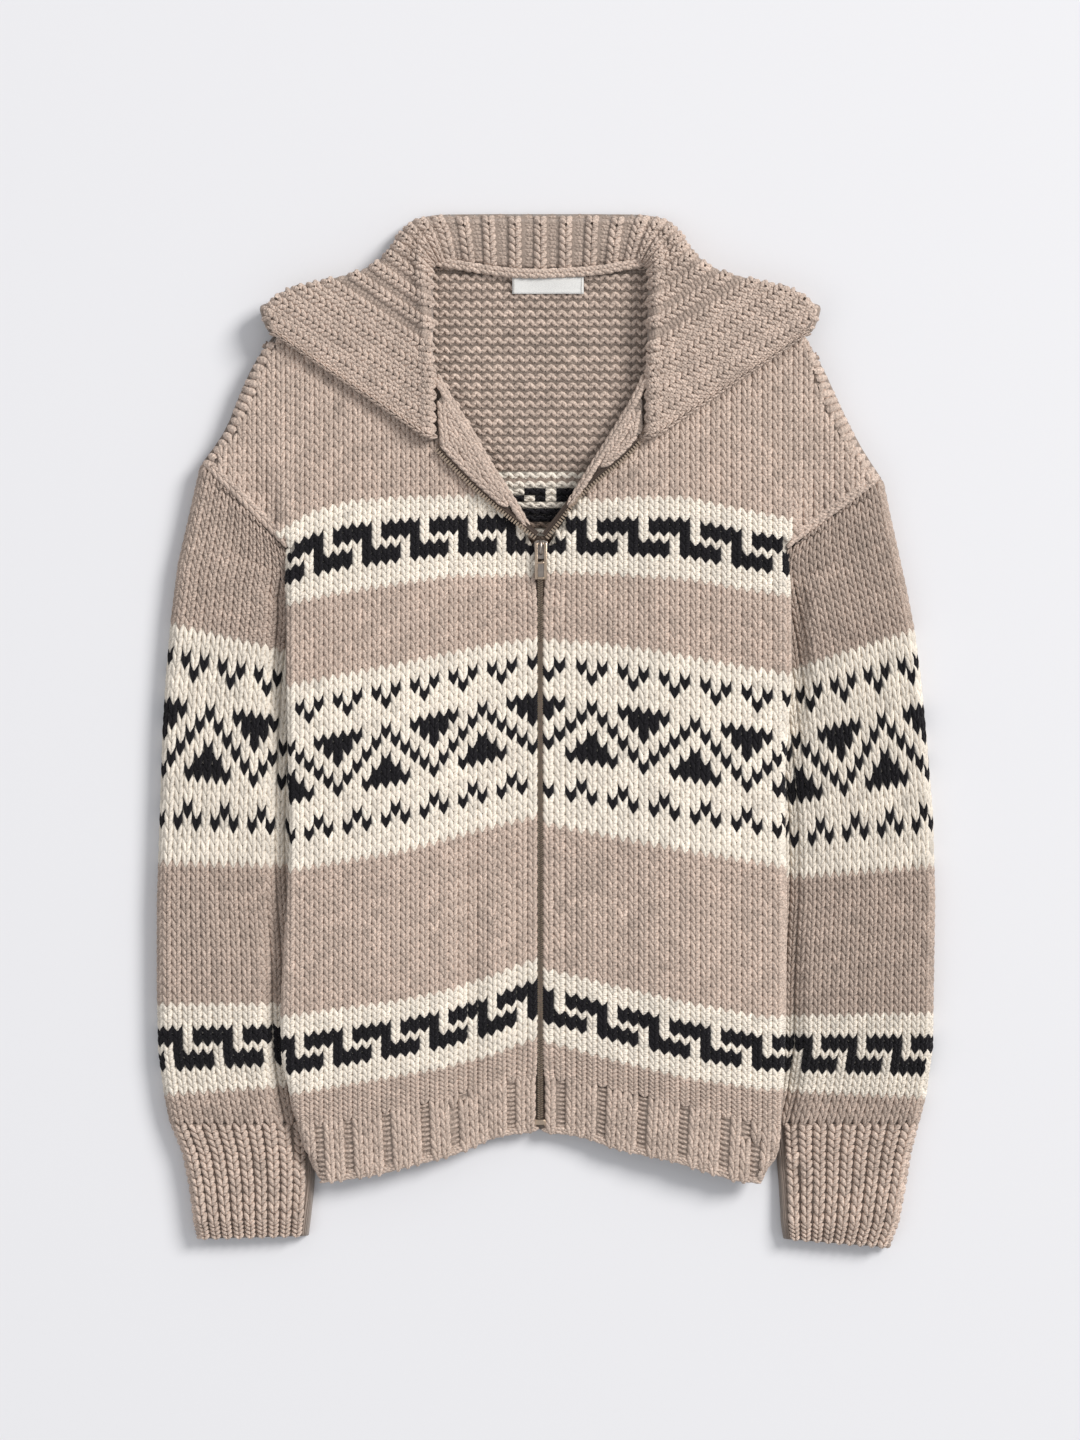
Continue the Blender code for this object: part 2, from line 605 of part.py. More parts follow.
def build_sleeves():
    plain = np.linspace(0.0, 1.0, TUBE_TOP_POINTS)
    level = np.zeros(TUBE_TOP_POINTS)
    build_tube("sleeve_left", SLEEVE_LEFT, -1, plain, level)
    build_tube("sleeve_right", SLEEVE_RIGHT, 1, plain, level)
    count = CUFF_RIBS * POINTS_PER_RIB + 1
    shares = np.linspace(0.0, 1.0, count)
    phase = np.arange(count) % POINTS_PER_RIB
    depths = np.where(phase == 0, -CUFF_RIB_DEPTH, 0.0)
    build_tube("cuff_left", CUFF_LEFT, -1, shares, depths)
    build_tube("cuff_right", CUFF_RIGHT, 1, shares, depths)


def collar_path(row):
    """The middle line of the collar's wall at one section, from the seam to its outer edge."""
    seam, roll, edge, hidden = (np.array(row[k:k + 2]) for k in (0, 2, 4, 6))
    seam_z, crest_z, leaf_z, turn = row[8:12]
    half = COLLAR_CLOTH / 2.0
    span = np.linalg.norm(edge - roll)
    way = (edge - roll) / span
    inset = min(7.5, span * 0.45)
    inside = edge - way * inset
    if turn == LIES_FLAT:
        rest = [inside, edge - way * 5.5, edge - way * 3.5, edge - way * 1.6, edge]
        rest_z = [leaf_z, leaf_z - 0.2, leaf_z - 0.5, leaf_z - 0.9, leaf_z - 1.5]
    elif turn == HANGS_OVER:
        rest = [inside, edge - way * 4.4, edge - way * 2.2, edge - way * 0.7, edge]
        rest_z = [leaf_z, leaf_z - 0.5, leaf_z - 1.7, leaf_z - 3.6, leaf_z - 6.0]
    else:
        under_way = (hidden - edge) / np.linalg.norm(hidden - edge)
        below = edge + under_way * inset
        rest = [inside, edge - way * half, below, below + (hidden - below) * 0.5, hidden]
        rest_z = [leaf_z, (leaf_z + half) / 2.0, half, half, half]
    places = [seam, seam + (roll - seam) * 0.12, seam + (roll - seam) * 0.6, roll]
    places += [roll + (inside - roll) * 0.22, roll + (inside - roll) * 0.6] + rest
    heights = [seam_z, seam_z + (crest_z - seam_z) * 0.6, crest_z, 0.6 * crest_z + 0.4 * leaf_z]
    heights += [leaf_z, leaf_z] + rest_z
    return rounded(np.column_stack([np.array(places), heights]), COLLAR_STEPS)


def collar_sections():
    """Middle lines at every groove and crest, from the left front end round to the right one."""
    table = np.array([collar_path(row) for row in COLLAR])
    count = 2 * COLLAR_HALF_RIBS + 1
    shares = np.linspace(0.0, COLLAR_LAST_ROW, count)
    smooth = []
    for share in shares:
        k = min(int(share), COLLAR_LAST_ROW - 1)
        t = share - k
        before, after = max(k - 1, 0), min(k + 2, COLLAR_LAST_ROW)
        a, b, c, d = table[before], table[k], table[k + 1], table[after]
        eased = 0.5 * (2 * b + (c - a) * t + (2 * a - 5 * b + 4 * c - d) * t * t + (3 * b - a - 3 * c + d) * t ** 3)
        smooth.append(0.5 * eased + 0.5 * (b + (c - b) * t))
    half = np.array(smooth)
    half[..., 2] = np.maximum(half[..., 2], COLLAR_CLOTH / 2.0)
    mirrored = half[:-1][::-1].copy()
    mirrored[..., 0] = 2 * COLLAR_MIRROR_X - mirrored[..., 0]
    return np.concatenate([half, mirrored])


def grid_normals(grid):
    across = np.gradient(grid, axis=0)
    along_path = np.gradient(grid, axis=1)
    normal = np.cross(along_path, across)
    return normal / np.maximum(np.linalg.norm(normal, axis=-1, keepdims=True), 1e-9)


def build_collar():
    grid = collar_sections()
    normal = grid_normals(grid)
    if normal[len(grid) // 4, 7, 2] < 0:
        normal = -normal
    half = COLLAR_CLOTH / 2.0
    path_count = grid.shape[1]
    groove = (np.arange(len(grid)) % 2 == 1).astype(float)
    on_top = smooth_step(path_count - 5.0, path_count - 7.0, np.arange(path_count))
    ribs = -COLLAR_RIB_DEPTH * groove[:, None] * on_top[None, :]
    outer = grid + normal * (half + ribs)[..., None]
    inner = grid - normal * half
    low = (grid[..., 2] < half + 0.3)
    outer[..., 2] = np.where(low, 0.0, np.maximum(outer[..., 2], 0.0))
    inner[..., 2] = np.where(low, COLLAR_CLOTH, inner[..., 2])
    add_wall("collar", outer, inner)


def strip_between(side):
    """Fold line and free edge of the turned-out front edge, matched section by section."""
    first = 0 if side < 0 else 2
    fold = np.stack([column(V_FOLD, first), column(V_FOLD, first + 1)], axis=1)
    teeth = np.stack([column(V_TEETH, first), column(V_TEETH, first + 1)], axis=1)
    neck = np.array([(-75.0 if side < 0 else 67.0, y) for y in (208.0, 219.0, 230.0)])
    way = np.gradient(teeth, axis=0)
    out = np.stack([way[:, 1], -way[:, 0]], axis=1) * side / np.linalg.norm(way, axis=1)[:, None]
    free = rounded(np.vstack([(teeth - out * 5.8), neck]), 3)
    free = free[free[:, 1] > FACING_START_Y[side] + 2.0]
    fold = rounded(fold, 3)
    inside = fold[(fold[:, 1] > FACING_START_Y[side]) & (fold[:, 1] < FACING_END_Y)]
    ends = [(np.interp(y, fold[:, 1], fold[:, 0]), y) for y in (FACING_START_Y[side], FACING_END_Y)]
    fold_line = along(np.vstack([ends[0], inside, ends[1]]), count=12)
    free_line = along(free, count=12)
    return fold_line, free_line


def build_facing(side, name):
    fold_line, free_line = strip_between(side)
    half = FACING_CLOTH / 2.0
    sections = []
    for fold, free in zip(fold_line, free_line):
        span = np.linalg.norm(free - fold)
        way = (free - fold) / span
        reach = np.array([0.0, 0.0, 0.9, 2.6, 5.0, span * 0.5 + 2.5, span])
        lift = np.array([-2.4, 0.2, 2.2, 2.9, 2.7, 2.7, 2.7])
        places = fold + way * reach[:, None]
        base = body_top(places[:, 0], places[:, 1])
        sections.append(np.column_stack([places, base + lift]))
    grid = np.array(sections)
    normal = grid_normals(grid)
    if normal[6, 5, 2] < 0:
        normal = -normal
    add_wall(name, grid + normal * half, grid - normal * half)


def ribbon(name, centre, widths, bottoms, tops, colour, **finish):
    """A strip of rectangular section along a line on the ground plan."""
    centre = np.asarray(centre, float)
    way = np.gradient(centre, axis=0)
    out = np.stack([way[:, 1], -way[:, 0]], axis=1) / np.linalg.norm(way, axis=1)[:, None]
    half = np.broadcast_to(np.asarray(widths, float) / 2.0, len(centre))[:, None]
    left, right = centre - out * half, centre + out * half
    top = np.stack([np.column_stack([left, tops]), np.column_stack([right, tops])], axis=1)
    base = np.stack([np.column_stack([left, bottoms]), np.column_stack([right, bottoms])], axis=1)
    add_wall(name, top, base, colour, **finish)


def build_zip():
    ys = np.linspace(CHAIN_BOTTOM_Y, SLIDER_Y[0] - 0.6, CHAIN_POINTS)
    straight = np.column_stack([np.full(CHAIN_POINTS, ZIP_X), ys])
    level = np.ones(CHAIN_POINTS)
    ribbon("zip_tape", straight, TAPE_WIDTH, TAPE_Z[0] * level, TAPE_Z[1] * level, TAPE)
    ribbon("zip_chain", straight, CHAIN_WIDTH, CHAIN_Z[0] * level, CHAIN_Z[1] * level, METAL,
           roughness=0.4, metallic=0.8)
    stop = np.column_stack([np.full(2, ZIP_X), [CHAIN_BOTTOM_Y - STOP_LENGTH, CHAIN_BOTTOM_Y - 0.4]])
    ribbon("zip_stop", stop, STOP_WIDTH, np.full(2, STOP_Z[0]), np.full(2, STOP_Z[1]), METAL,
           roughness=0.35, metallic=0.9)
    for side, word in ((-1, "left"), (1, "right")):
        first = 0 if side < 0 else 2
        line = rounded(np.stack([column(V_TEETH, first), column(V_TEETH, first + 1)], axis=1), 3)
        way = np.gradient(line, axis=0)
        out = np.stack([way[:, 1], -way[:, 0]], axis=1) * side / np.linalg.norm(way, axis=1)[:, None]
        tape_line = line - out * 1.7
        near = (-TAPE_REACH, 0.0, TAPE_REACH)
        lower = np.array([max(body_top(p[0] + dx, p[1] + dy) for dx in near for dy in near) for p in tape_line])
        ribbon("zip_tape_" + word, tape_line, OPEN_TAPE_WIDTH, lower + 0.4, lower + 1.1, TAPE)
        ribbon("zip_teeth_" + word, line - out * 0.6, TEETH_WIDTH, lower + 1.4, lower + TEETH_TOP, METAL,
               roughness=0.4, metallic=0.8)


def box(name, low, high, colour=METAL, **finish):
    corners = [(x, y, z) for z in (low[2], high[2]) for y in (low[1], high[1]) for x in (low[0], high[0])]
    faces = [(0, 2, 3, 1), (4, 5, 7, 6), (0, 1, 5, 4), (2, 6, 7, 3), (0, 4, 6, 2), (1, 3, 7, 5)]
    return add_solid(name, corners, faces, colour, **finish)


def combine(target, tool, operation):
    """Joins or cuts a solid with a helper, which is then removed."""
    change = target.modifiers.new(operation.lower(), "BOOLEAN")
    change.operation = operation
    change.solver = "EXACT"
    change.object = tool
    bpy.context.view_layer.update()
    graph = bpy.context.evaluated_depsgraph_get()
    made = bpy.data.meshes.new_from_object(target.evaluated_get(graph))
    target.modifiers.clear()
    target.data = made
    bpy.data.objects.remove(tool, do_unlink=True)


def build_slider():
    finish = {"roughness": 0.35, "metallic": 0.9}
    low_y, high_y = SLIDER_Y
    slider = box("zip_slider", (SLIDER_X - 4.9, low_y, SLIDER_BASE_Z), (SLIDER_X + 4.9, high_y, 14.9), **finish)
    key = box("key", (ZIP_X - 2.4, low_y + 2.0, 11.4), (ZIP_X + 2.4, high_y - 1.0, SLIDER_BASE_Z + 0.5), **finish)
    combine(slider, key, "UNION")
    bridge = box("bridge", (SLIDER_X - 1.3, low_y + 3.0, 14.5), (SLIDER_X + 1.3, high_y - 0.3, 18.2), **finish)
    hole = box("hole", (SLIDER_X - 2.0, low_y + 4.8, 14.9), (SLIDER_X + 2.0, high_y - 1.3, 17.4), **finish)
    combine(bridge, hole, "DIFFERENCE")
    combine(slider, bridge, "UNION")


def build_pull():
    finish = {"roughness": 0.35, "metallic": 0.9}
    tip_y = PULL_HINGE_Y + 1.0 - PULL_LENGTH
    low_z, high_z = PULL_HINGE_Z - 0.7, PULL_HINGE_Z + 0.7
    pull = box("zip_pull", (SLIDER_X - 4.2, tip_y, low_z), (SLIDER_X + 4.2, PULL_HINGE_Y + 0.7, high_z), **finish)
    slot = box("slot", (SLIDER_X - 2.2, PULL_HINGE_Y - 12.6, low_z - 1.0),
               (SLIDER_X + 2.2, PULL_HINGE_Y - 0.7, high_z + 1.0), **finish)
    combine(pull, slot, "DIFFERENCE")
    recess = box("recess", (SLIDER_X - 2.4, tip_y + 1.8, high_z - 0.4),
                 (SLIDER_X + 2.4, PULL_HINGE_Y - 14.2, high_z + 1.0), **finish)
    combine(pull, recess, "DIFFERENCE")


def build_label():
    base = float(body_under(np.array(LABEL_CENTRE[0]), np.array(LABEL_CENTRE[1] - 6.0))) + CLOTH
    half_w, half_h = LABEL_SIZE[0] / 2.0, LABEL_SIZE[1] / 2.0
    cx, cy = LABEL_CENTRE
    box("label", (cx - half_w, cy - half_h, base + 0.4), (cx + half_w, cy + half_h, base + 1.2), WHITE)


def main():
    clear_scene()
    build_back()
    build_hem_back()
    for side, word in ((-1, "left"), (1, "right")):
        build_front(side, "front_" + word)
        build_hem_front(side, "hem_" + word)
        build_facing(side, "facing_" + word)
    build_sleeves()
    build_collar()
    build_zip()
    build_slider()
    build_pull()
    build_label()


main()
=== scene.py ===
# Chunky knitted zip cardigan laid flat: the finished look over its CAD parts.
# Lengths are in millimetres and are scaled once, where meshes are made.
# Left and right are as seen from above; side is -1 on the left and 1 on the right.
import math

import bmesh
import bpy
import numpy as np
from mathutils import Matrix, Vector


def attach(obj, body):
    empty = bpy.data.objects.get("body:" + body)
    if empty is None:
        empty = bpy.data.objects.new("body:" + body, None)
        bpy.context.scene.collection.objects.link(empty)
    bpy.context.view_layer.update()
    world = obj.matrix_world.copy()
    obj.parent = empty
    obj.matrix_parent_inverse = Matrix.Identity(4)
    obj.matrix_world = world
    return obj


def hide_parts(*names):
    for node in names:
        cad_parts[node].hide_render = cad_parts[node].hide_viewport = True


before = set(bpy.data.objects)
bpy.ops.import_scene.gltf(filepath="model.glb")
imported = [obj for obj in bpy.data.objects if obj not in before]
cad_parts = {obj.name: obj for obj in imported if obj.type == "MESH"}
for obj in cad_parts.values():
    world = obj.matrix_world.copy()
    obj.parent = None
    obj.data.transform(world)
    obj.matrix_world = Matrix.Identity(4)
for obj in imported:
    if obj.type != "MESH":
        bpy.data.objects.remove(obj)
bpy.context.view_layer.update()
MM = 0.001
CLOTH = 4.0            # thickness of the knitted wall
COLLAR_CLOTH = 4.4     # the ribbed collar is a little thicker
FACING_CLOTH = 3.4     # turned-out front edge
SEAM = 0.8             # space left between two sewn pieces
HEM_SEAM = 1.0         # and along the hem's stepped line
ZIP_X = -4.0           # middle of the zip
ZIP_GAP = 7.0          # between the two front edges
V_START_Y = 131.0      # where the fronts begin to open
UNDERARM_Y = 127.5
COLLAR_MIRROR_X = -4.0

# Heights of the body's upper and lower skins
TOP_AT_ZIP = 13.0
TOP_AT_SIDE = 21.0
TOP_AT_CHEST = 18.0
TUCK_CLEARANCE = 9.8   # the body's side lies this high, over the sleeve's tucked edge
FALL_CLEARANCE = 5.2   # the upper back lies this high, over the collar's fall
MOST_EDGE_RADIUS = 9.0

# Half the body's outline, one row per height: y, left side x, right side x
SIDES = (
    (-316.0, -157.0, 149.0),
    (-294.0, -168.0, 163.0),
    (-270.0, -176.0, 165.0),
    (-231.0, -184.5, 166.5),
    (-199.0, -185.5, 167.5),
    (-110.0, -181.0, 168.0),
    (-70.0, -179.0, 167.0),
    (-25.0, -180.5, 167.0),
    (37.0, -182.0, 172.5),
    (91.0, -182.0, 171.5),
    (127.5, -182.5, 170.5),
)
# Shoulder outline from the armhole's top to the neck corner: left x, left y, right x, right y
SHOULDERS = (
    (-241.0, 187.0, 235.0, 176.5),
    (-225.5, 209.0, 221.0, 198.0),
    (-215.0, 234.0, 208.5, 222.5),
    (-203.5, 258.0, 194.0, 253.0),
    (-190.0, 277.0, 181.0, 275.0),
    (-177.0, 290.0, 168.0, 289.0),
    (-163.0, 297.0, 154.0, 297.0),
    (-146.0, 303.0, 137.5, 303.0),
    (-127.0, 310.0, 119.0, 310.0),
    (-105.5, 320.0, 97.0, 320.0),
    (-86.0, 326.0, 78.0, 326.0),
)
# Hem, from the side seam to the zip: share of the width, left top y, left bottom y, right top y, bottom y
HEM_LINES = (
    (0.0, -277.0, -315.0, -276.5, -315.5),
    (0.12, -273.5, -312.5, -273.0, -313.0),
    (0.27, -270.0, -309.0, -267.0, -306.0),
    (0.42, -264.0, -303.0, -261.0, -299.0),
    (0.60, -258.0, -296.5, -255.0, -294.0),
    (0.70, -252.0, -291.0, -251.5, -290.0),
    (0.80, -247.0, -284.0, -248.0, -284.5),
    (0.90, -244.5, -281.5, -245.0, -281.5),
    (1.0, -243.5, -280.0, -243.5, -281.0),
)
# Recessed purl lines of the hem: x at the left front, x at the right front
HEM_RECESSES = ((-160.0, 13.0), (-137.0, 41.0), (-113.0, 66.0), (-85.0, 94.0), (-61.0, 122.0), (-25.0, 143.0))

# Opening of the front: the line where each front folds outwards, from the zip up
V_FOLD = (
    (-6.5, 133.0, -1.5, 133.0),
    (-13.5, 146.5, 5.5, 144.0),
    (-26.0, 167.5, 19.0, 165.0),
    (-37.0, 184.0, 30.0, 183.0),
    (-52.0, 210.0, 46.0, 208.0),
    (-66.0, 232.0, 60.0, 231.0),
    (-75.5, 248.0, 68.5, 248.0),
)
# The zip's free edge on the folded-out fronts, from the slider up
V_TEETH = (
    (-8.0, 134.5, 1.0, 134.5),
    (-19.5, 143.5, 10.5, 146.5),
    (-35.5, 156.0, 21.5, 160.5),
    (-52.0, 170.5, 37.0, 175.0),
    (-66.0, 184.5, 53.0, 188.0),
    (-76.0, 195.0, 65.0, 200.0),
)
EDGE_INSET = 4.6       # the fronts stop this far outside the fold line
FACING_START_Y = {-1: 157.0, 1: 182.0}
FACING_END_Y = 237.0

# Sleeves: outer x and y, inner x and y, height outside, height at the tucked edge
SLEEVE_LEFT = (
    (-241.6, 186.6, -183.2, 126.6, 17.0, 17.0),
    (-246.5, 165.0, -183.0, 117.0, 16.5, 16.0),
    (-252.0, 141.0, -182.9, 105.0, 16.0, 14.0),
    (-257.5, 117.0, -182.7, 88.0, 16.0, 10.5),
    (-262.5, 79.0, -172.0, 66.0, 15.5, 9.0),
    (-266.0, 40.0, -161.0, 36.0, 15.0, 9.0),
    (-268.5, 0.0, -159.0, 0.0, 15.0, 9.0),
    (-270.5, -60.0, -158.0, -60.0, 15.0, 9.0),
    (-272.5, -120.0, -158.0, -120.0, 15.0, 9.0),
    (-272.5, -180.0, -158.5, -180.0, 15.0, 9.0),
    (-271.5, -225.0, -159.0, -225.0, 15.0, 9.0),
    (-267.5, -255.0, -159.5, -255.0, 14.5, 9.0),
    (-263.5, -275.0, -160.0, -275.0, 13.5, 9.0),
)
SLEEVE_RIGHT = (
    (235.8, 175.8, 171.4, 126.6, 17.0, 17.0),
    (241.0, 150.0, 171.5, 116.0, 16.5, 16.0),
    (247.0, 123.0, 171.8, 103.0, 16.0, 14.0),
    (252.5, 98.0, 172.3, 86.0, 16.0, 10.5),
    (258.0, 70.0, 163.0, 62.0, 15.5, 9.0),
    (262.5, 36.0, 155.0, 33.0, 15.0, 9.0),
    (266.0, 0.0, 153.0, 0.0, 15.0, 9.0),
    (271.0, -60.0, 152.0, -60.0, 15.0, 9.0),
    (272.5, -119.0, 152.0, -119.0, 15.0, 9.0),
    (271.5, -180.0, 153.0, -180.0, 15.0, 9.0),
    (271.0, -222.0, 155.0, -222.0, 15.0, 9.0),
    (266.5, -255.0, 157.0, -255.0, 14.5, 9.0),
    (261.5, -275.0, 158.5, -275.0, 13.5, 9.0),
)
CUFF_LEFT = (
    (-262.5, -275.6, -160.0, -275.6, 13.0, 9.0),
    (-254.0, -296.0, -160.0, -296.0, 13.5, 9.0),
    (-249.5, -318.0, -160.5, -318.0, 14.0, 10.5),
    (-246.0, -345.0, -162.5, -342.0, 14.0, 12.5),
    (-243.5, -356.5, -164.5, -354.5, 12.0, 11.0),
)
CUFF_RIGHT = (
    (260.5, -275.6, 158.5, -275.6, 13.0, 9.0),
    (255.0, -296.0, 160.0, -296.0, 13.5, 9.0),
    (251.5, -318.0, 161.5, -318.0, 14.0, 10.5),
    (246.5, -345.0, 162.5, -346.0, 14.0, 12.5),
    (240.0, -362.5, 164.5, -356.5, 12.0, 11.0),
)
TUCKED_IF_LOWER_BY = 2.0
TUCK_STARTS, TUCK_ENDS = 17.0, 3.0     # before the body's side
SLEEVE_SPAN = 112.0    # width over which a sleeve's rows lean from its outer to its tucked edge
CUFF_RIBS = 9

LIES_FLAT, HANGS_OVER, GOES_UNDER = 0, 1, 2
COLLAR_STEPS = (1, 2, 2, 1, 1, 1, 2, 2, 1, 1)
# The collar is a band round the neck, one row per section from the front end to the middle of the
# back: seam x y, roll x y, outline x y, hidden edge x y, seam z, crest z, leaf z, how it ends
COLLAR = (
    (-79.0, 203.0, -88.0, 207.0, -193.0, 278.0, -193.0, 278.0, 20.6, 24.5, 21.4, LIES_FLAT),
    (-79.0, 222.5, -88.0, 226.0, -198.0, 295.0, -201.0, 288.0, 20.6, 25.0, 21.4, HANGS_OVER),
    (-79.0, 243.5, -88.0, 246.0, -182.0, 308.5, -190.0, 294.0, 20.6, 25.0, 21.4, GOES_UNDER),
    (-79.0, 266.5, -88.0, 269.0, -156.0, 315.5, -173.0, 261.0, 17.0, 25.0, 21.4, GOES_UNDER),
    (-79.0, 288.5, -88.0, 291.0, -132.5, 322.0, -140.5, 237.0, 14.0, 24.5, 21.4, GOES_UNDER),
    (-79.5, 306.5, -89.0, 312.0, -116.0, 332.0, -111.0, 226.0, 13.5, 24.0, 21.2, GOES_UNDER),
    (-79.5, 318.0, -90.0, 327.5, -108.5, 341.0, -99.5, 223.5, 12.5, 23.0, 20.0, GOES_UNDER),
    (-78.5, 325.0, -89.5, 338.0, -102.0, 349.5, -92.5, 224.5, 11.0, 20.0, 17.5, GOES_UNDER),
    (-75.0, 327.5, -84.0, 346.0, -93.0, 357.5, -84.0, 225.0, 9.0, 16.0, 14.0, GOES_UNDER),
    (-66.0, 327.5, -72.0, 350.0, -77.0, 360.0, -71.5, 224.0, 7.6, 12.8, 11.6, GOES_UNDER),
    (-49.5, 326.0, -51.5, 350.5, -53.0, 360.0, -50.5, 222.5, 7.4, 12.0, 11.0, GOES_UNDER),
    (-27.5, 322.5, -28.0, 350.5, -28.5, 360.0, -27.5, 221.0, 7.4, 12.0, 11.0, GOES_UNDER),
    (-4.0, 321.5, -4.0, 350.5, -4.0, 360.0, -4.0, 221.0, 7.4, 12.0, 11.0, GOES_UNDER),
)
COLLAR_HALF_RIBS = 16
COLLAR_LAST_ROW = len(COLLAR) - 1
# Lower limit of the zone where the back lies over the collar's fall: distance from the middle, y
FALL_LIMIT = ((0.0, 200.0), (80.0, 200.0), (108.0, 203.0), (138.0, 212.0), (170.0, 232.0), (190.0, 252.0))
FALL_STEP = 25.0

CHAIN_BOTTOM_Y = -272.0
SLIDER_X = -3.6
SLIDER_Y = (119.5, 133.0)
SLIDER_BASE_Z = 13.5
PULL_HINGE_Y = 130.2
PULL_HINGE_Z = 16.2
PULL_LENGTH = 26.0
LABEL_SIZE = (50.0, 12.0)
LABEL_CENTRE = (1.4, 311.5)


def smooth_step(low, high, value):
    share = np.clip((np.asarray(value, float) - low) / (high - low), 0.0, 1.0)
    return share * share * (3.0 - 2.0 * share)


def column(rows, index):
    return np.array([row[index] for row in rows], float)


def edge_points(table, side):
    """One side's x and y of a table that lists left x, left y, right x, right y."""
    first = 0 if side < 0 else 2
    return np.stack([column(table, first), column(table, first + 1)], axis=1)


def outwards(line, side):
    """Directions square to a line that runs up the body, away from its middle."""
    way = np.gradient(line, axis=0)
    return np.stack([way[:, 1], -way[:, 0]], axis=1) * side / np.linalg.norm(way, axis=1)[:, None]


def along(points, count=None, at=None):
    """Points along a line of corners, evenly spaced or at the given shares of its length."""
    points = np.asarray(points, float)
    steps = np.linalg.norm(np.diff(points, axis=0), axis=1)
    length = np.concatenate([[0.0], np.cumsum(steps)])
    where = np.linspace(0.0, 1.0, count) if at is None else np.asarray(at, float)
    cols = [np.interp(where * length[-1], length, points[:, k]) for k in range(points.shape[1])]
    return np.stack(cols, axis=1)


def rounded(points, per_span=4):
    """A smooth line through its corners, as Catmull-Rom spans with that many steps each."""
    p = np.asarray(points, float)
    steps = np.broadcast_to(per_span, len(p) - 1)
    p = np.vstack([2 * p[0] - p[1], p, 2 * p[-1] - p[-2]])
    out = []
    for k in range(1, len(p) - 2):
        for t in np.arange(steps[k - 1]) / steps[k - 1]:
            a, b, c, d = p[k - 1], p[k], p[k + 1], p[k + 2]
            out.append(0.5 * (2 * b + (c - a) * t + (2 * a - 5 * b + 4 * c - d) * t * t
                              + (3 * b - a - 3 * c + d) * t ** 3))
    out.append(p[-2])
    return np.array(out)


def wall_faces(rows, cols, closed_cols=False):
    """Faces of a wall whose outer grid comes first and its inner grid second."""
    faces = []
    inner = rows * cols
    last = cols if closed_cols else cols - 1

    def at(i, j, side):
        return side * inner + i * cols + j % cols

    for i in range(rows - 1):
        for j in range(last):
            faces.append((at(i, j, 0), at(i, j + 1, 0), at(i + 1, j + 1, 0), at(i + 1, j, 0)))
            faces.append((at(i, j, 1), at(i + 1, j, 1), at(i + 1, j + 1, 1), at(i, j + 1, 1)))
    for j in range(last):
        faces.append((at(0, j, 0), at(0, j, 1), at(0, j + 1, 1), at(0, j + 1, 0)))
        faces.append((at(rows - 1, j, 0), at(rows - 1, j + 1, 0), at(rows - 1, j + 1, 1), at(rows - 1, j, 1)))
    if not closed_cols:
        for i in range(rows - 1):
            faces.append((at(i, 0, 0), at(i + 1, 0, 0), at(i + 1, 0, 1), at(i, 0, 1)))
            faces.append((at(i, cols - 1, 0), at(i, cols - 1, 1),
                          at(i + 1, cols - 1, 1), at(i + 1, cols - 1, 0)))
    return faces


def side_x(y, side):
    """The body's side at height y."""
    return np.interp(y, column(SIDES, 0), column(SIDES, 1 if side < 0 else 2))


def sleeve_edge_x(y, side):
    """The sleeve's tucked edge at height y."""
    rows = (SLEEVE_LEFT if side < 0 else SLEEVE_RIGHT)[3:] + (CUFF_LEFT if side < 0 else CUFF_RIGHT)[1:]
    rows = sorted(rows, key=lambda row: row[3])
    return np.interp(y, column(rows, 3), column(rows, 2))


def body_top(x, y):
    """Height of the fronts' upper skin, before it rounds down at the outline."""
    side = np.where(x < ZIP_X, -1, 1)
    edge = np.where(side < 0, side_x(y, -1), side_x(y, 1))
    share = np.clip(np.abs((x - ZIP_X) / (edge - ZIP_X)), 0.0, 1.3)
    low = TOP_AT_ZIP + (TOP_AT_SIDE - TOP_AT_ZIP) * smooth_step(0.04, 0.62, share)
    low = low - 1.5 * smooth_step(-255.0, -300.0, y)
    return low + (TOP_AT_CHEST - low) * smooth_step(122.0, 195.0, y) + crease(x, y, FOLDS)


def body_under(x, y):
    """Height of the back's lower skin: flat on the ground but for the sleeves and the collar's fall."""
    lift = np.zeros(np.broadcast(x, y).shape)
    for side in (-1, 1):
        edge = sleeve_edge_x(y, side)
        over = 1.0 - smooth_step(13.0, 32.0, (x - edge) * -side)
        lift = np.maximum(lift, TUCK_CLEARANCE * over * smooth_step(126.0, 100.0, y))
    reach = np.abs(x - COLLAR_MIRROR_X)
    limit = np.interp(reach, column(FALL_LIMIT, 0), column(FALL_LIMIT, 1))
    fall = FALL_CLEARANCE * smooth_step(-FALL_STEP, 0.0, y - limit)
    return np.maximum(lift, fall)


def outline(side):
    """The body's rounded outline on one side, from the hem's corner to the neck corner."""
    ys = np.linspace(SIDES[0][0] - 2.0, UNDERARM_Y, 60)
    return np.stack([side_x(ys, side), ys], axis=1), shoulder_line(side)


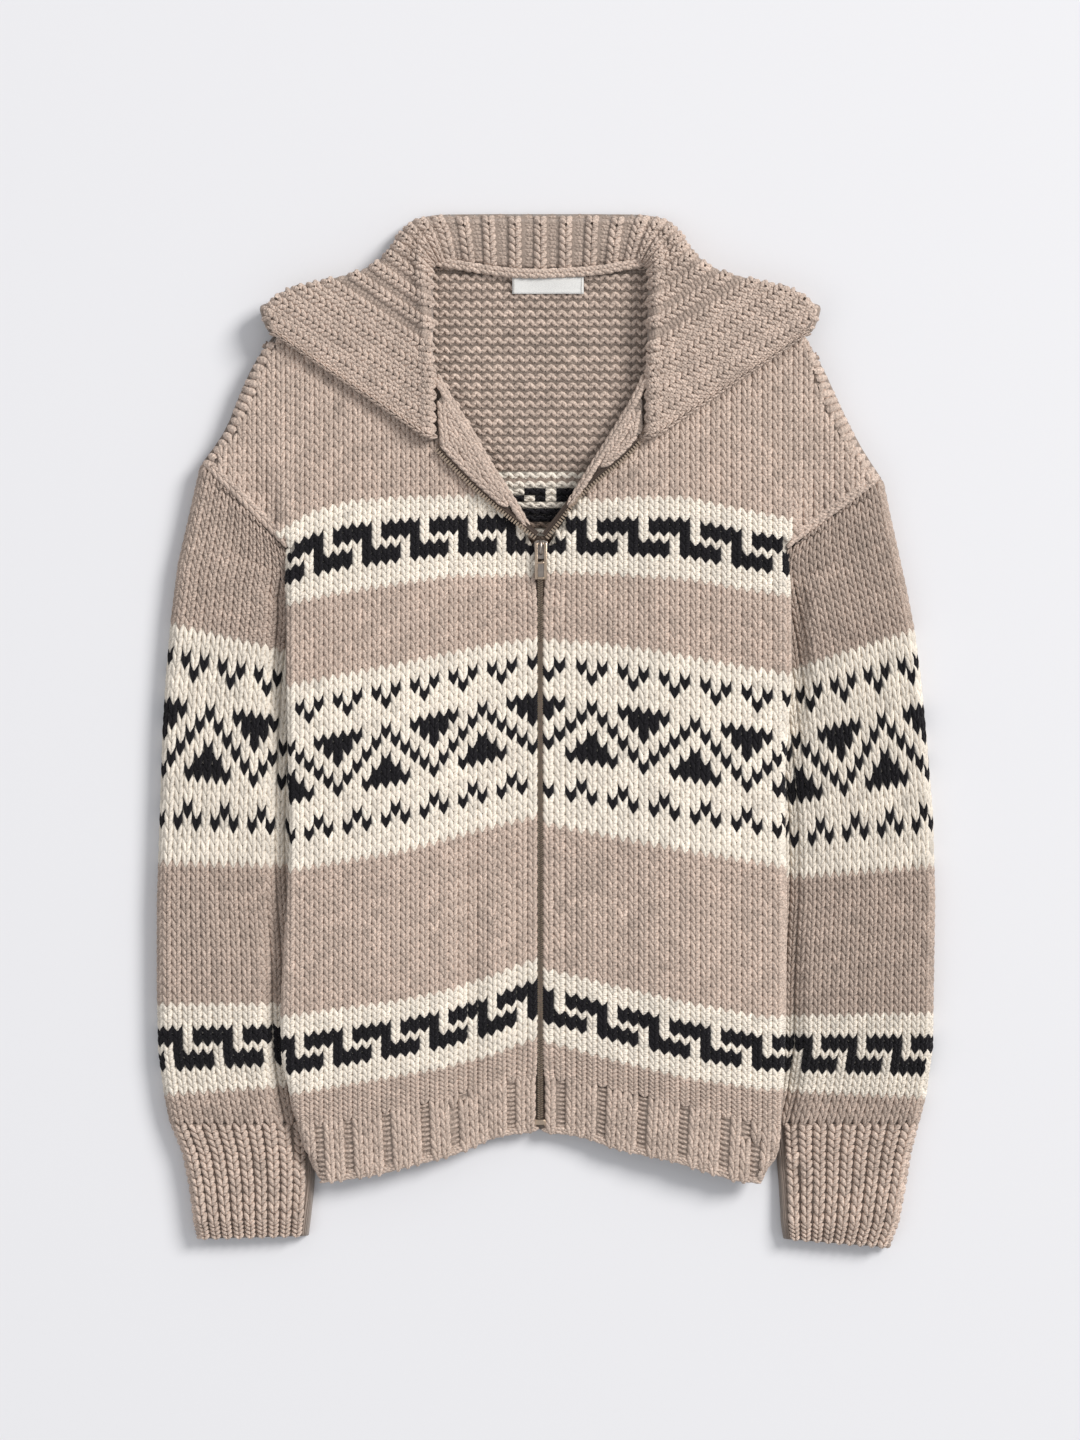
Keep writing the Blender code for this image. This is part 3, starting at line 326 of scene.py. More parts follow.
def edge_frame(x, y):
    """Distance from the outline and the outward direction there."""
    best = np.full(x.shape, 1e9)
    out = np.zeros(x.shape + (2,))
    for side in (-1, 1):
        for line in outline(side):
            a, b = line[:-1], line[1:]
            way = b - a
            size = (way ** 2).sum(1)
            normal = np.stack([way[:, 1], -way[:, 0]], axis=1) / np.sqrt(size)[:, None]
            normal *= side
            corner = np.vstack([normal[:1], (normal[:-1] + normal[1:]) / 2, normal[-1:]])
            px, py = x[..., None], y[..., None]
            t = np.clip(((px - a[:, 0]) * way[:, 0] + (py - a[:, 1]) * way[:, 1]) / size, 0.0, 1.0)
            gap = np.hypot(px - a[:, 0] - t * way[:, 0], py - a[:, 1] - t * way[:, 1])
            k = gap.argmin(-1)
            near = np.take_along_axis(gap, k[..., None], -1)[..., 0]
            tk = np.take_along_axis(t, k[..., None], -1)
            direction = corner[k] * (1 - tk) + corner[k + 1] * tk
            direction /= np.linalg.norm(direction, axis=-1)[..., None]
            take = near < best
            best = np.where(take, near, best)
            out = np.where(take[..., None], direction, out)
    return best, out


def shell(xy, upper, raised=None):
    """Outer and inner points of a body panel over a grid of places; upper is True for the fronts."""
    x, y = xy[..., 0], xy[..., 1]
    top, under, radius = skin_radius(x, y)
    gap, direction = edge_frame(x, y)
    lean = np.clip((radius - gap) / radius, 0.0, 1.0)
    rise = np.sqrt(1.0 - lean ** 2)
    sign = 1.0 if upper else -1.0
    skin = top if upper else under
    z = skin - sign * radius * (1.0 - rise)
    middle_limit = (top + under) / 2.0 + sign * SEAM / 2.0
    z = np.maximum(z, middle_limit) if upper else np.minimum(z, middle_limit)
    outer = np.stack([x, y, z], axis=-1)
    normal = np.stack([direction[..., 0] * lean, direction[..., 1] * lean, sign * rise], axis=-1)
    inner = outer - normal * CLOTH
    limit = middle_limit[..., None] * np.array([0.0, 0.0, 1.0])
    if upper:
        inner[..., 2] = np.maximum(inner[..., 2], limit[..., 2])
    else:
        inner[..., 2] = np.minimum(inner[..., 2], limit[..., 2])
    if raised is not None:
        outer = outer + normal * raised[..., None]
    return outer, inner


def edge_shares(length, count, both_ends):
    """Shares across a panel, close together beside an edge that rounds over: the first, or both."""
    head = np.array([0.0, 0.5, 1.6, 3.4, 6.0, 9.5]) / length
    tail = 1.0 - head[::-1] if both_ends else np.array([1.0])
    inside = count - len(head) - len(tail)
    middle = np.linspace(head[-1], tail[0], inside + 2)[1:-1]
    return np.concatenate([head, middle, tail])


def patch(left, right, bottom, top, shares, heights):
    """A grid between four edge lines; left and right are points for each height."""
    rows = []
    for i, v in enumerate(heights):
        u = shares[i]
        lo, hi = along(bottom, at=u), along(top, at=u)
        u = u[:, None]
        line = (1 - u) * left[i] + u * right[i]
        edge = (1 - v) * lo + v * hi
        corners = (1 - v) * ((1 - u) * bottom[0] + u * bottom[-1]) + v * ((1 - u) * top[0] + u * top[-1])
        rows.append(line + edge - corners)
    return np.array(rows)


UNDERARM_SHARE = 0.62


def two_stage(lower, upper, heights):
    """Points up an edge that changes its course at the underarm."""
    low = heights[heights <= UNDERARM_SHARE] / UNDERARM_SHARE
    high = (heights[heights > UNDERARM_SHARE] - UNDERARM_SHARE) / (1 - UNDERARM_SHARE)
    return np.vstack([along(lower, at=low), along(upper, at=high)])


def hem_line(side, lower):
    """A hem line from the side to the zip."""
    index = (1 if side < 0 else 3) + (1 if lower else 0)
    shares = column(HEM_LINES, 0)
    ys = column(HEM_LINES, index)
    start = side_x(ys[0], side)
    end = ZIP_X + side * ZIP_GAP / 2.0
    xs = start + (end - start) * shares
    return np.stack([xs, ys], axis=1)


def outer_edge(side):
    bottom_y = HEM_LINES[0][1 if side < 0 else 3]
    ys = np.linspace(bottom_y, UNDERARM_Y, 30)
    lower = np.stack([side_x(ys, side), ys], axis=1)
    return lower, np.array([lower[-1], edge_points(SHOULDERS, side)[0]])


def shoulder_line(side):
    return rounded(edge_points(SHOULDERS, side))


def neck_edge(side):
    """A front's inner edge: the zip, then the turned-out fold, then the neckline."""
    x = ZIP_X + side * ZIP_GAP / 2.0
    zip_edge = np.array([(x, HEM_LINES[-1][1]), (x, V_START_Y - 6.0)])
    fold = edge_points(V_FOLD, side)
    opened = fold + outwards(fold, side) * EDGE_INSET
    neck_x, neck_y = edge_points(SHOULDERS, side)[-1]
    opened[:, 0] = np.where(side * opened[:, 0] > side * neck_x, neck_x, opened[:, 0])
    neck_start = (neck_x, fold[-1, 1] + 8.0)
    upper = np.vstack([zip_edge[-1:], opened, [neck_start, (neck_x, neck_y)]])
    return zip_edge, upper


def collar_path(row):
    """The middle line of the collar's wall at one section, from the seam to its outer edge."""
    seam, roll, edge, hidden = (np.array(row[k:k + 2]) for k in (0, 2, 4, 6))
    seam_z, crest_z, leaf_z, turn = row[8:12]
    half = COLLAR_CLOTH / 2.0
    span = np.linalg.norm(edge - roll)
    way = (edge - roll) / span
    inset = min(7.5, span * 0.45)
    inside = edge - way * inset
    if turn == LIES_FLAT:
        rest = [inside, edge - way * 5.5, edge - way * 3.5, edge - way * 1.6, edge]
        rest_z = [leaf_z, leaf_z - 0.2, leaf_z - 0.5, leaf_z - 0.9, leaf_z - 1.5]
    elif turn == HANGS_OVER:
        rest = [inside, edge - way * 4.4, edge - way * 2.2, edge - way * 0.7, edge]
        rest_z = [leaf_z, leaf_z - 0.5, leaf_z - 1.7, leaf_z - 3.6, leaf_z - 6.0]
    else:
        under_way = (hidden - edge) / np.linalg.norm(hidden - edge)
        below = edge + under_way * inset
        rest = [inside, edge - way * half, below, below + (hidden - below) * 0.5, hidden]
        rest_z = [leaf_z, (leaf_z + half) / 2.0, half, half, half]
    places = [seam, seam + (roll - seam) * 0.12, seam + (roll - seam) * 0.6, roll]
    places += [roll + (inside - roll) * 0.22, roll + (inside - roll) * 0.6] + rest
    heights = [seam_z, seam_z + (crest_z - seam_z) * 0.6, crest_z, 0.6 * crest_z + 0.4 * leaf_z]
    heights += [leaf_z, leaf_z] + rest_z
    return rounded(np.column_stack([np.array(places), heights]), COLLAR_STEPS)


def grid_normals(grid):
    across = np.gradient(grid, axis=0)
    along_path = np.gradient(grid, axis=1)
    normal = np.cross(along_path, across)
    return normal / np.maximum(np.linalg.norm(normal, axis=-1, keepdims=True), 1e-9)


def strip_between(side):
    """Fold line and free edge of the turned-out front edge, matched section by section."""
    teeth = edge_points(V_TEETH, side)
    neck = np.array([(-75.0 if side < 0 else 67.0, y) for y in (208.0, 219.0, 230.0)])
    free = rounded(np.vstack([teeth - outwards(teeth, side) * 5.8, neck]), 3)
    free = free[free[:, 1] > FACING_START_Y[side] + 2.0]
    fold = rounded(edge_points(V_FOLD, side), 3)
    inside = fold[(fold[:, 1] > FACING_START_Y[side]) & (fold[:, 1] < FACING_END_Y)]
    ends = [(np.interp(y, fold[:, 1], fold[:, 0]), y) for y in (FACING_START_Y[side], FACING_END_Y)]
    fold_line = along(np.vstack([ends[0], inside, ends[1]]), count=12)
    free_line = along(free, count=12)
    return fold_line, free_line


STITCH_RISE = 2.1       # the stitches stand this far above their plain wall
SHELL_WALL = 1.9        # thickness of a sleeve's or cuff's wall under its stitches
PITCH = {-1: 6.72, 1: 7.21}     # width of a column on the left and the right front
FRONT_COLUMNS, FRONT_ROWS = (0, 37), (-24, 73)
HEM_COLUMNS = (0, 27)
SLEEVE_COLUMNS = (0, 19)
INSIDE_COLUMNS, INSIDE_PITCH = (-12, 13), 7.5
BEIGE, CREAM, BLACK, SHADE = 0, 1, 2, 3


def srgb(r, g, b):
    """Linear colour of a screen colour."""
    c = np.array([r, g, b], float) / 255.0
    return np.where(c <= 0.04045, c / 12.92, ((c + 0.055) / 1.055) ** 2.4)


YARN = np.array([srgb(209, 189, 175), srgb(250, 240, 226), srgb(29, 27, 31), srgb(132, 115, 103)])
HEATHER = np.array([1.0, 0.25, 0.2, 1.0])

# Heights of the colour bands: fabric row, then x y along the left front, then along the right front
BAND_LINES = (
    (0, (-186, 140, -163.8, 152.6, -136.5, 160.3, -98.7, 163.1, -61.6, 164.0, -24, 166),
        (19.6, 163, 37.8, 161, 62.3, 163.1, 96, 163.1, 135.8, 154.7, 168, 148.4)),
    (11, (-181.3, 87.5, -148.4, 95.2, -98.7, 102.9, -66.5, 107.8, -7.7, 108.5),
         (2.1, 110.6, 42, 109.2, 102.2, 105, 135.8, 98.7, 170.8, 93.8)),
    (19, (-181.3, 31.5, -98.7, 47.6, -50, 58, -6.3, 65.1),
         (0.7, 63.7, 38, 61, 75.6, 56, 128.8, 46.2, 168, 39.9)),
    (38, (-180.6, -98, -98.7, -84, -40, -68, -4.9, -59.5),
         (0, -65.1, 50, -75, 106.4, -85.4, 167.3, -95.2)),
    (55, (-184.8, -199.5, -102.2, -188.3, -65.8, -180.6, -40, -172, -9.8, -160.3),
         (-2.8, -165.9, 44.8, -177.8, 98.7, -189.7, 150.5, -199.5)),
    (66, (-179.2, -254.1, -75.6, -236.6, -40, -228, -8.4, -215.6),
         (-2.8, -217, 44.8, -230.3, 98.7, -242.9, 151.2, -250.6)),
    (73, (-168, -277, -128, -270, -75, -258, -40, -247.5, -7.5, -243.5),
         (-0.5, -243.5, 40, -249, 85, -259, 130, -271, 165, -276.5)),
)
ZIP_LEAN = 1.5          # how far the edges' first columns reach over the tape
ROWS_ABOVE = -26
ROW_ABOVE_PITCH = 6.6
# The same on the sleeves: fabric row, height at the outer edge, height at the tucked edge
SLEEVE_LINES = {
    -1: ((0, 185.0, 125.0), (17, 75.0, 49.0), (36, -92.4, -95.2), (51, -191.1, -191.1),
         (62, -254.8, -247.1), (66, -275.2, -275.2)),
    1: ((0, 174.5, 125.0), (16, 70.7, 36.4), (35, -94.5, -103.6), (51, -197.4, -199.5),
        (62, -256.9, -252.0), (65, -275.2, -275.2)),
}
SLEEVE_PAINTED_SHADE = {-1: 0.87, 1: 0.82}       # painted shade: the sleeves' yarn is darkened below the fronts'
SLEEVE_PITCH = {-1: 6.5, 1: 6.1}
# Columns of the motifs: wide zigzag, small V, small peak, upper meander, lower meander
PHASE = {
    "front": {-1: (5, 3, 2, 0, 3), 1: (4, 0, 3, 0, 2)},
    "sleeve": {-1: (6, 0, 0, 0, 0), 1: (6, 2, 2, 0, 3)},
}

# Soft troughs and ridges pressed into the cloth: x y, x y, half width, height
FOLDS = (
    (-50.0, -60.0, -52.0, -285.0, 9.0, -2.0),
    (-34.0, -70.0, -30.0, -285.0, 10.0, 1.5),
    (-69.0, -90.0, -72.0, -285.0, 10.0, 1.1),
    (-207.0, 188.0, -186.0, 134.0, 12.0, -4.6),
    (-184.0, 172.0, -180.0, 104.0, 8.0, 1.8),
    (-168.0, 190.0, -160.0, 90.0, 14.0, 1.2),
    (196.0, 172.0, 174.0, 124.0, 12.0, -4.4),
    (170.0, 160.0, 168.0, 98.0, 8.0, 1.8),
    (150.0, 190.0, 142.0, 90.0, 15.0, 1.2),
    (30.0, -60.0, 38.0, -280.0, 12.0, 1.0),
    (58.0, -90.0, 66.0, -290.0, 10.0, -0.9),
    (110.0, -20.0, 118.0, -240.0, 16.0, 0.9),
    (-120.0, -10.0, -126.0, -250.0, 16.0, 0.8),
    (-110.0, 90.0, -40.0, 60.0, 14.0, 0.7),
    (20.0, 70.0, 110.0, 92.0, 14.0, 0.7),
)


def crease(x, y, table):
    """Height that a table's troughs and ridges add at a place."""
    total = np.zeros(np.broadcast(x, y).shape)
    for ax, ay, bx, by, half, height in table:
        wx, wy = bx - ax, by - ay
        t = np.clip(((x - ax) * wx + (y - ay) * wy) / (wx * wx + wy * wy), 0.0, 1.0)
        gap = np.hypot(x - ax - t * wx, y - ay - t * wy)
        ends = np.sin(np.pi * np.clip(0.12 + 0.76 * t, 0.0, 1.0))
        total = total + height * ends * np.exp(-(gap / half) ** 2)
    return total


def signed_gap(x, y):
    """Distance inside the body's outline, negative outside it, and the outward direction."""
    gap, out = edge_frame(x, y)
    return np.where(inside_body(x, y), gap, -gap), out


def inside_body(x, y):
    """True within the body's whole outline, sleeves and hem's curve left out."""
    halves = [np.vstack([(side * 150.0, -420.0)] + list(outline(side))) for side in (-1, 1)]
    line = np.vstack([halves[0], halves[1][::-1]])
    inside = np.zeros(np.shape(x), bool)
    for a, b in zip(line, np.roll(line, -1, axis=0)):
        if a[1] == b[1]:
            continue
        crossed = (a[1] > y) != (b[1] > y)
        inside ^= crossed & (x < a[0] + (y - a[1]) * (b[0] - a[0]) / (b[1] - a[1]))
    return inside


def band_y(row, x, side):
    """Height of a fabric row at x on a front."""
    index = 1 if side < 0 else 2
    lines = []
    for line in BAND_LINES:
        points = np.array(line[index], float).reshape(-1, 2)
        lines.append(np.interp(x, points[:, 0], points[:, 1]))
    first = lines[0] - ROWS_ABOVE * ROW_ABOVE_PITCH
    last = lines[-1] - 20 * 6.0
    rows = [ROWS_ABOVE] + [line[0] for line in BAND_LINES] + [BAND_LINES[-1][0] + 20]
    ys = np.stack([first] + lines + [last])
    out = np.zeros(np.broadcast(row, x).shape)
    row = np.broadcast_to(row, out.shape)
    for k in range(len(rows) - 1):
        t = (row - rows[k]) / (rows[k + 1] - rows[k])
        inside = (row >= rows[k]) & ((row <= rows[k + 1]) | (k == len(rows) - 2))
        out = np.where(inside, ys[k] + (ys[k + 1] - ys[k]) * t, out)
    return np.where(row < rows[0], ys[0] + (rows[0] - row) * ROW_ABOVE_PITCH, out)


def band_row(x, y, side):
    """Fabric row at a place, the inverse of band_y."""
    rows = np.arange(ROWS_ABOVE - 8, 96)
    table = np.stack([band_y(float(r), x, side) for r in rows])
    k = np.clip((table > y).sum(0) - 1, 0, len(rows) - 2)
    upper = np.take_along_axis(table, k[None], 0)[0]
    lower = np.take_along_axis(table, k[None] + 1, 0)[0]
    return rows[k] + np.clip((upper - y) / np.maximum(upper - lower, 1e-6), -3.0, 3.0)


def chart(part, side, row, col, bands):
    """Yarn of a stitch from the drawn motifs; bands are the first rows of the three cream bands."""
    upper, middle, lower = bands
    zig, small, peak, high_m, low_m = PHASE[part][side]
    cream = np.zeros(row.shape, bool)
    black = np.zeros(row.shape, bool)
    for first, start in ((upper, high_m), (lower, low_m)):
        if first is None:
            continue
        r = row - first
        cream |= (r >= 0) & (r < 11)
        m = ((side if part == "front" else -side) * (col - start)) % 5
        r = r - 3
        black |= ((r == 0) | (r == 1)) & (m <= 3)
        black |= (r == 2) & (m == 3)
        black |= ((r == 3) | (r == 4)) & (m != 2)
    r = row - middle
    cream |= (r >= 0) & (r < 19)
    r = r - 6
    v, p, z = (col - small) % 4, (col - peak) % 4, (col - zig) % 10
    black |= (r == -4) & ((v == 1) | (v == 3))
    black |= (r == -3) & (v == 0)
    black |= (r == 8) & (p == 0)
    black |= (r == 9) & ((p == 1) | (p == 3))
    wide = ((0, 3, 4, 5, 6, 7), (1, 9, 4, 5, 6), (2, 8, 5), (3, 7, 0), (4, 6, 9, 0, 1), (5, 8, 9, 0, 1, 2))
    for k, columns in enumerate(wide):
        black |= (r == k) & np.isin(z, columns)
    return np.where(black, BLACK, np.where(cream, CREAM, BEIGE))


LONGEST_STITCH = 19.0   # longer ones are left out: they span a gap in the cloth


class Knitting:
    """Gathers stitches of one piece and makes them one mesh."""

    def __init__(self, tone=1.0):
        self.points, self.faces, self.colours, self.uvs, self.count = [], [], [], [], 0
        self.tone = tone

    def add(self, template, centre, across, up, normal, colour, rise=1.0):
        """Sets a template at each centre; colour is a yarn number for each stitch."""
        points, faces, uv, shade = template
        longest = np.maximum(np.linalg.norm(across, axis=1), np.linalg.norm(up, axis=1))
        fits = longest < LONGEST_STITCH
        centre, across, up, normal, colour = centre[fits], across[fits], up[fits], normal[fits], colour[fits]
        n, k = len(centre), len(points)
        if n == 0:
            return
        lean = RANDOM.normal(0.0, 0.03, (n, 1))
        across, up = across + up * lean, up - across * lean
        shape = (centre[:, None, :] + points[None, :, 0:1] * across[:, None, :]
                 + points[None, :, 1:2] * up[:, None, :]
                 + points[None, :, 2:3] * (normal * np.reshape(rise, (-1, 1)))[:, None, :])
        self.points.append(shape.reshape(-1, 3))
        starts = (np.arange(n) * k)[:, None, None] + self.count
        self.faces.append((faces[None] + starts).reshape(-1, 4))
        # tone scales the whole piece's yarn colour; the sleeves' tone is painted shade
        own = np.where(colour == BEIGE, self.tone, (1.0 + self.tone) / 2.0)[:, None]
        tone = YARN[colour] * own * (1.0 + RANDOM.normal(0.0, 0.06, n)[:, None])
        rgba = np.concatenate([tone, HEATHER[colour][:, None]], axis=1)
        rgba = np.repeat(rgba[:, None, :], k, axis=1)
        # each template point's shade factor darkens it: painted shade on the sheets and the grooves' bars
        rgba[..., :3] *= shade[None, :, None]
        self.colours.append(rgba.reshape(-1, 4))
        shift = RANDOM.random((n, 1, 2)) * 7.0
        self.uvs.append((uv[None] + shift).reshape(-1, 2))
        self.count += n * k

    def make(self, name, body="garment"):
        points, faces = np.concatenate(self.points), np.concatenate(self.faces)
        made = mesh_object(name, points, faces, MATERIALS["yarn"])
        mesh = made.data
        layer = mesh.color_attributes.new("yarn", "FLOAT_COLOR", "POINT")
        layer.data.foreach_set("color", np.concatenate(self.colours).astype(np.float32).ravel())
        uv = mesh.attributes.new("strand", "FLOAT2", "POINT")
        uv.data.foreach_set("vector", np.concatenate(self.uvs).astype(np.float32).ravel())
        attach(made, body)
        return made


def mesh_object(name, points, faces, material):
    """An object from points in millimetres and an array of four-cornered faces."""
    mesh = bpy.data.meshes.new(name)
    faces = np.asarray(faces, np.int32)
    corners = faces.shape[1]
    mesh.vertices.add(len(points))
    mesh.vertices.foreach_set("co", (np.asarray(points) * MM).astype(np.float32).ravel())
    mesh.loops.add(faces.size)
    mesh.loops.foreach_set("vertex_index", faces.ravel())
    mesh.polygons.add(len(faces))
    mesh.polygons.foreach_set("loop_start", np.arange(0, faces.size, corners, dtype=np.int32))
    mesh.polygons.foreach_set("use_smooth", np.full(len(faces), True))
    mesh.update(calc_edges=True)
    mesh.validate()
    made = bpy.data.objects.new(name, mesh)
    bpy.context.scene.collection.objects.link(made)
    mesh.materials.append(material)
    return made


def strand(line, widths, heights, ring=5):
    """An arched strip along a line in a stitch's own frame: points, faces and strand coordinates."""
    line = np.asarray(line, float)
    way = np.gradient(line, axis=0)
    out = np.stack([way[:, 1], -way[:, 0]], axis=1) / np.linalg.norm(way, axis=1)[:, None]
    angles = np.linspace(0.0, np.pi, ring)
    points, uv = [], []
    length = 0.0
    for k, (place, width, height) in enumerate(zip(line, widths, heights)):
        if k:
            length += np.linalg.norm(line[k] - line[k - 1])
        for j, angle in enumerate(angles):
            flat = place + out[k] * width * np.cos(angle)
            points.append((flat[0], flat[1], SINK + (height - SINK) * np.sin(angle)))
            uv.append((j / (ring - 1.0), length))
    faces = []
    for k in range(len(line) - 1):
        for j in range(ring - 1):
            a = k * ring + j
            faces.append((a, a + 1, a + ring + 1, a + ring))
    return np.array(points), np.array(faces), np.array(uv), np.ones(len(points))


def shade_pad(width, low, high, level, shade):
    """A flat dark sheet behind a stitch: painted shade in the gaps between its legs."""
    flat = ((-width, low), (width, low), (width, high), (-width, high))
    points = np.array([(x, y, level) for x, y in flat])
    return points, np.array([(0, 1, 2, 3)]), points[:, :2] * 1.0, np.full(4, shade)


def joined(*templates):
    points, faces, uv, shade, count = [], [], [], [], 0
    for p, f, u, s in templates:
        points.append(p)
        faces.append(f + count)
        uv.append(u)
        shade.append(s)
        count += len(p)
    return np.concatenate(points), np.concatenate(faces), np.concatenate(uv), np.concatenate(shade)


SINK = -0.6
LEG_STEPS = np.array([0.0, 0.2, 0.48, 0.77, 1.0])
LEG_WIDTHS = (0.08, 0.215, 0.285, 0.26, 0.11)
LEG_HEIGHTS = (1.5, 2.0, 2.15, 1.75, 0.5)


def leg(side, low=-0.86, long=1.60, spread=0.365, heights=LEG_HEIGHTS):
    reach = 0.045 + spread * LEG_STEPS ** 0.95
    line = np.stack([side * reach, low + long * LEG_STEPS], axis=1)
    made = strand(line, LEG_WIDTHS, heights)
    return made if side > 0 else (made[0], made[1][:, ::-1], made[2], made[3])


BARE_KNIT = joined(leg(-1), leg(1))
# The sheets under the stitches are painted shade, darker still on the sleeves.
KNIT = joined(BARE_KNIT, shade_pad(0.47, -0.42, 0.42, 0.1, 0.3))
SLEEVE_KNIT = joined(BARE_KNIT, shade_pad(0.47, -0.42, 0.42, 0.1, 0.2))
RIB_LEG = (-0.74, 1.36, 0.43, (1.3, 2.2, 2.3, 1.7, 0.3))
RIB_KNIT = joined(leg(-1, *RIB_LEG), leg(1, *RIB_LEG), shade_pad(0.36, -0.5, 0.5, 0.3, 0.42))
WAVE_STEPS = np.linspace(-0.5, 0.5, 9)
PURL = strand(np.stack([WAVE_STEPS, 0.24 * np.cos(2 * np.pi * WAVE_STEPS)], axis=1), [0.25] * 9,
              1.5 + 0.6 * np.cos(2 * np.pi * WAVE_STEPS))
PURL = joined(PURL, shade_pad(0.5, -0.5, 0.5, 0.05, 0.42))
BAR = strand(np.stack([np.linspace(-0.5, 0.5, 5), np.array([-0.1, 0.08, 0.12, 0.08, -0.1])], axis=1),
             (0.18, 0.3, 0.34, 0.3, 0.18), (0.0, 0.8, 1.1, 0.8, 0.0))
# These bars are darkened (0.74 and 0.9): painted shade in the cuffs' and collar's grooves and the hem's
# recesses.
DEEP_BAR = (BAR[0], BAR[1], BAR[2], np.full(len(BAR[0]), 0.74))
WAVE_BAR = strand(np.stack([np.linspace(-0.56, 0.56, 7), (0.3, 0.1, -0.12, -0.2, -0.12, 0.1, 0.3)], axis=1),
                  (0.1, 0.26, 0.36, 0.38, 0.36, 0.26, 0.1), (-0.2, 0.9, 1.5, 1.7, 1.5, 0.9, -0.2))
WAVE_BAR = (WAVE_BAR[0], WAVE_BAR[1], WAVE_BAR[2], np.full(len(WAVE_BAR[0]), 0.9))
LOBE = strand(np.stack([np.zeros(5), np.linspace(-0.6, 0.6, 5)], axis=1), (0.2, 0.42, 0.5, 0.42, 0.2),
              (0.2, 1.3, 1.8, 1.3, 0.2))


def frames(place, a, b, turn=1.0, wide=1.0):
    """Centre, across, up and normal of the stitches at fabric places (a, b); b grows downwards."""
    h = 0.5
    centre = place(a, b)
    across = (place(a + h * wide, b) - place(a - h * wide, b)) * turn
    up = place(a, b - h) - place(a, b + h)
    normal = np.cross(across, up)
    normal /= np.maximum(np.linalg.norm(normal, axis=1, keepdims=True), 1e-9)
    return centre, across, up, normal


def chain(knit, path, colour, pitch, width, lift=0.0, up_hint=(0.0, 0.0, 1.0)):
    """A single column of stitches along a line in space."""
    path = np.asarray(path, float)
    length = np.linalg.norm(np.diff(path, axis=0), axis=1).sum()
    count = max(int(round(length / pitch)), 2)
    line = along(path, count=count + 1)
    centre = (line[:-1] + line[1:]) / 2.0
    up = line[1:] - line[:-1]
    across = np.cross(up, np.broadcast_to(np.asarray(up_hint, float), up.shape))
    across *= width / np.maximum(np.linalg.norm(across, axis=1, keepdims=True), 1e-9)
    face = np.cross(across, up)
    face /= np.linalg.norm(face, axis=1, keepdims=True)
    centre = centre + face * lift
    knit.add(BARE_KNIT, centre, across, up, face, np.full(len(centre), colour))


def skin_radius(x, y):
    """Heights of the body's two skins and the radius of its rounded edge."""
    top, under = body_top(x, y), body_under(x, y)
    return top, under, np.clip((top - under) / 2.0, CLOTH + 1.2, MOST_EDGE_RADIUS)


def roll_over(x, y):
    """Bends a flat place beyond the body's outline down round its edge."""
    gap, out = signed_gap(x, y)
    radius = skin_radius(x, y)[2]
    theta = np.clip((radius - gap) / radius, 0.0, 2.1)
    shift = np.where(theta > 0, gap - radius * (1.0 - np.sin(theta)), 0.0)
    x, y = x + out[..., 0] * shift, y + out[..., 1] * shift
    z = body_top(x, y) - radius * (1.0 - np.cos(theta))
    return np.stack([x, y, z], axis=-1)


def flat_front(side, col, row):
    """A front's fabric column and row as a flat place, drawn over the tape where the zip is closed."""
    x = ZIP_X + side * (ZIP_GAP / 2.0 + (col + 0.5) * PITCH[side])
    y = band_y(row + 0.5, x, side)
    closed = smooth_step(-262.0, -225.0, y) * smooth_step(112.0, 80.0, y)
    return x - side * ZIP_LEAN * closed * smooth_step(3.0, -0.5, col), y


def cells(cols, rows):
    """Every column and row between two limits each, as two flat arrays."""
    col, row = np.meshgrid(np.arange(*cols), np.arange(*rows))
    return col.ravel().astype(float), row.ravel().astype(float)


def place_stitches(knit, template, place, col, row, colour, rise=1.0, drop=STITCH_RISE, turn=1.0, wide=1.0):
    centre, across, up, normal = frames(place, col, row, turn, wide)
    knit.add(template, centre - normal * drop, across, up, normal, colour, rise)


def armhole_inside(x, y, side):
    """Distance inwards from the armhole line."""
    a = np.array([side_x(UNDERARM_Y, side), UNDERARM_Y])
    b = edge_points(SHOULDERS, side)[0]
    way = (b - a) / np.linalg.norm(b - a)
    return ((x - a[0]) * way[1] - (y - a[1]) * way[0]) * -side


COLLAR_EDGE = {-1: ((-176.0, 269.0), (-87.0, 203.0)), 1: ((75.0, 212.0), (176.0, 271.0))}
SHOULDER_SEAM = {
    -1: ((-236.5, 186.0), (-217.0, 213.0), (-204.0, 238.0), (-199.5, 252.0), (-192.0, 269.0)),
    1: ((230.0, 176.0), (213.0, 199.0), (198.0, 225.0), (190.0, 250.0), (186.0, 262.0)),
}


def beyond_fold(x, y):
    """The wedge of plain cloth between the body's side fold and the armhole."""
    return ((x < -187.0) | (x > 174.0)) & (y > UNDERARM_Y - 4.0)


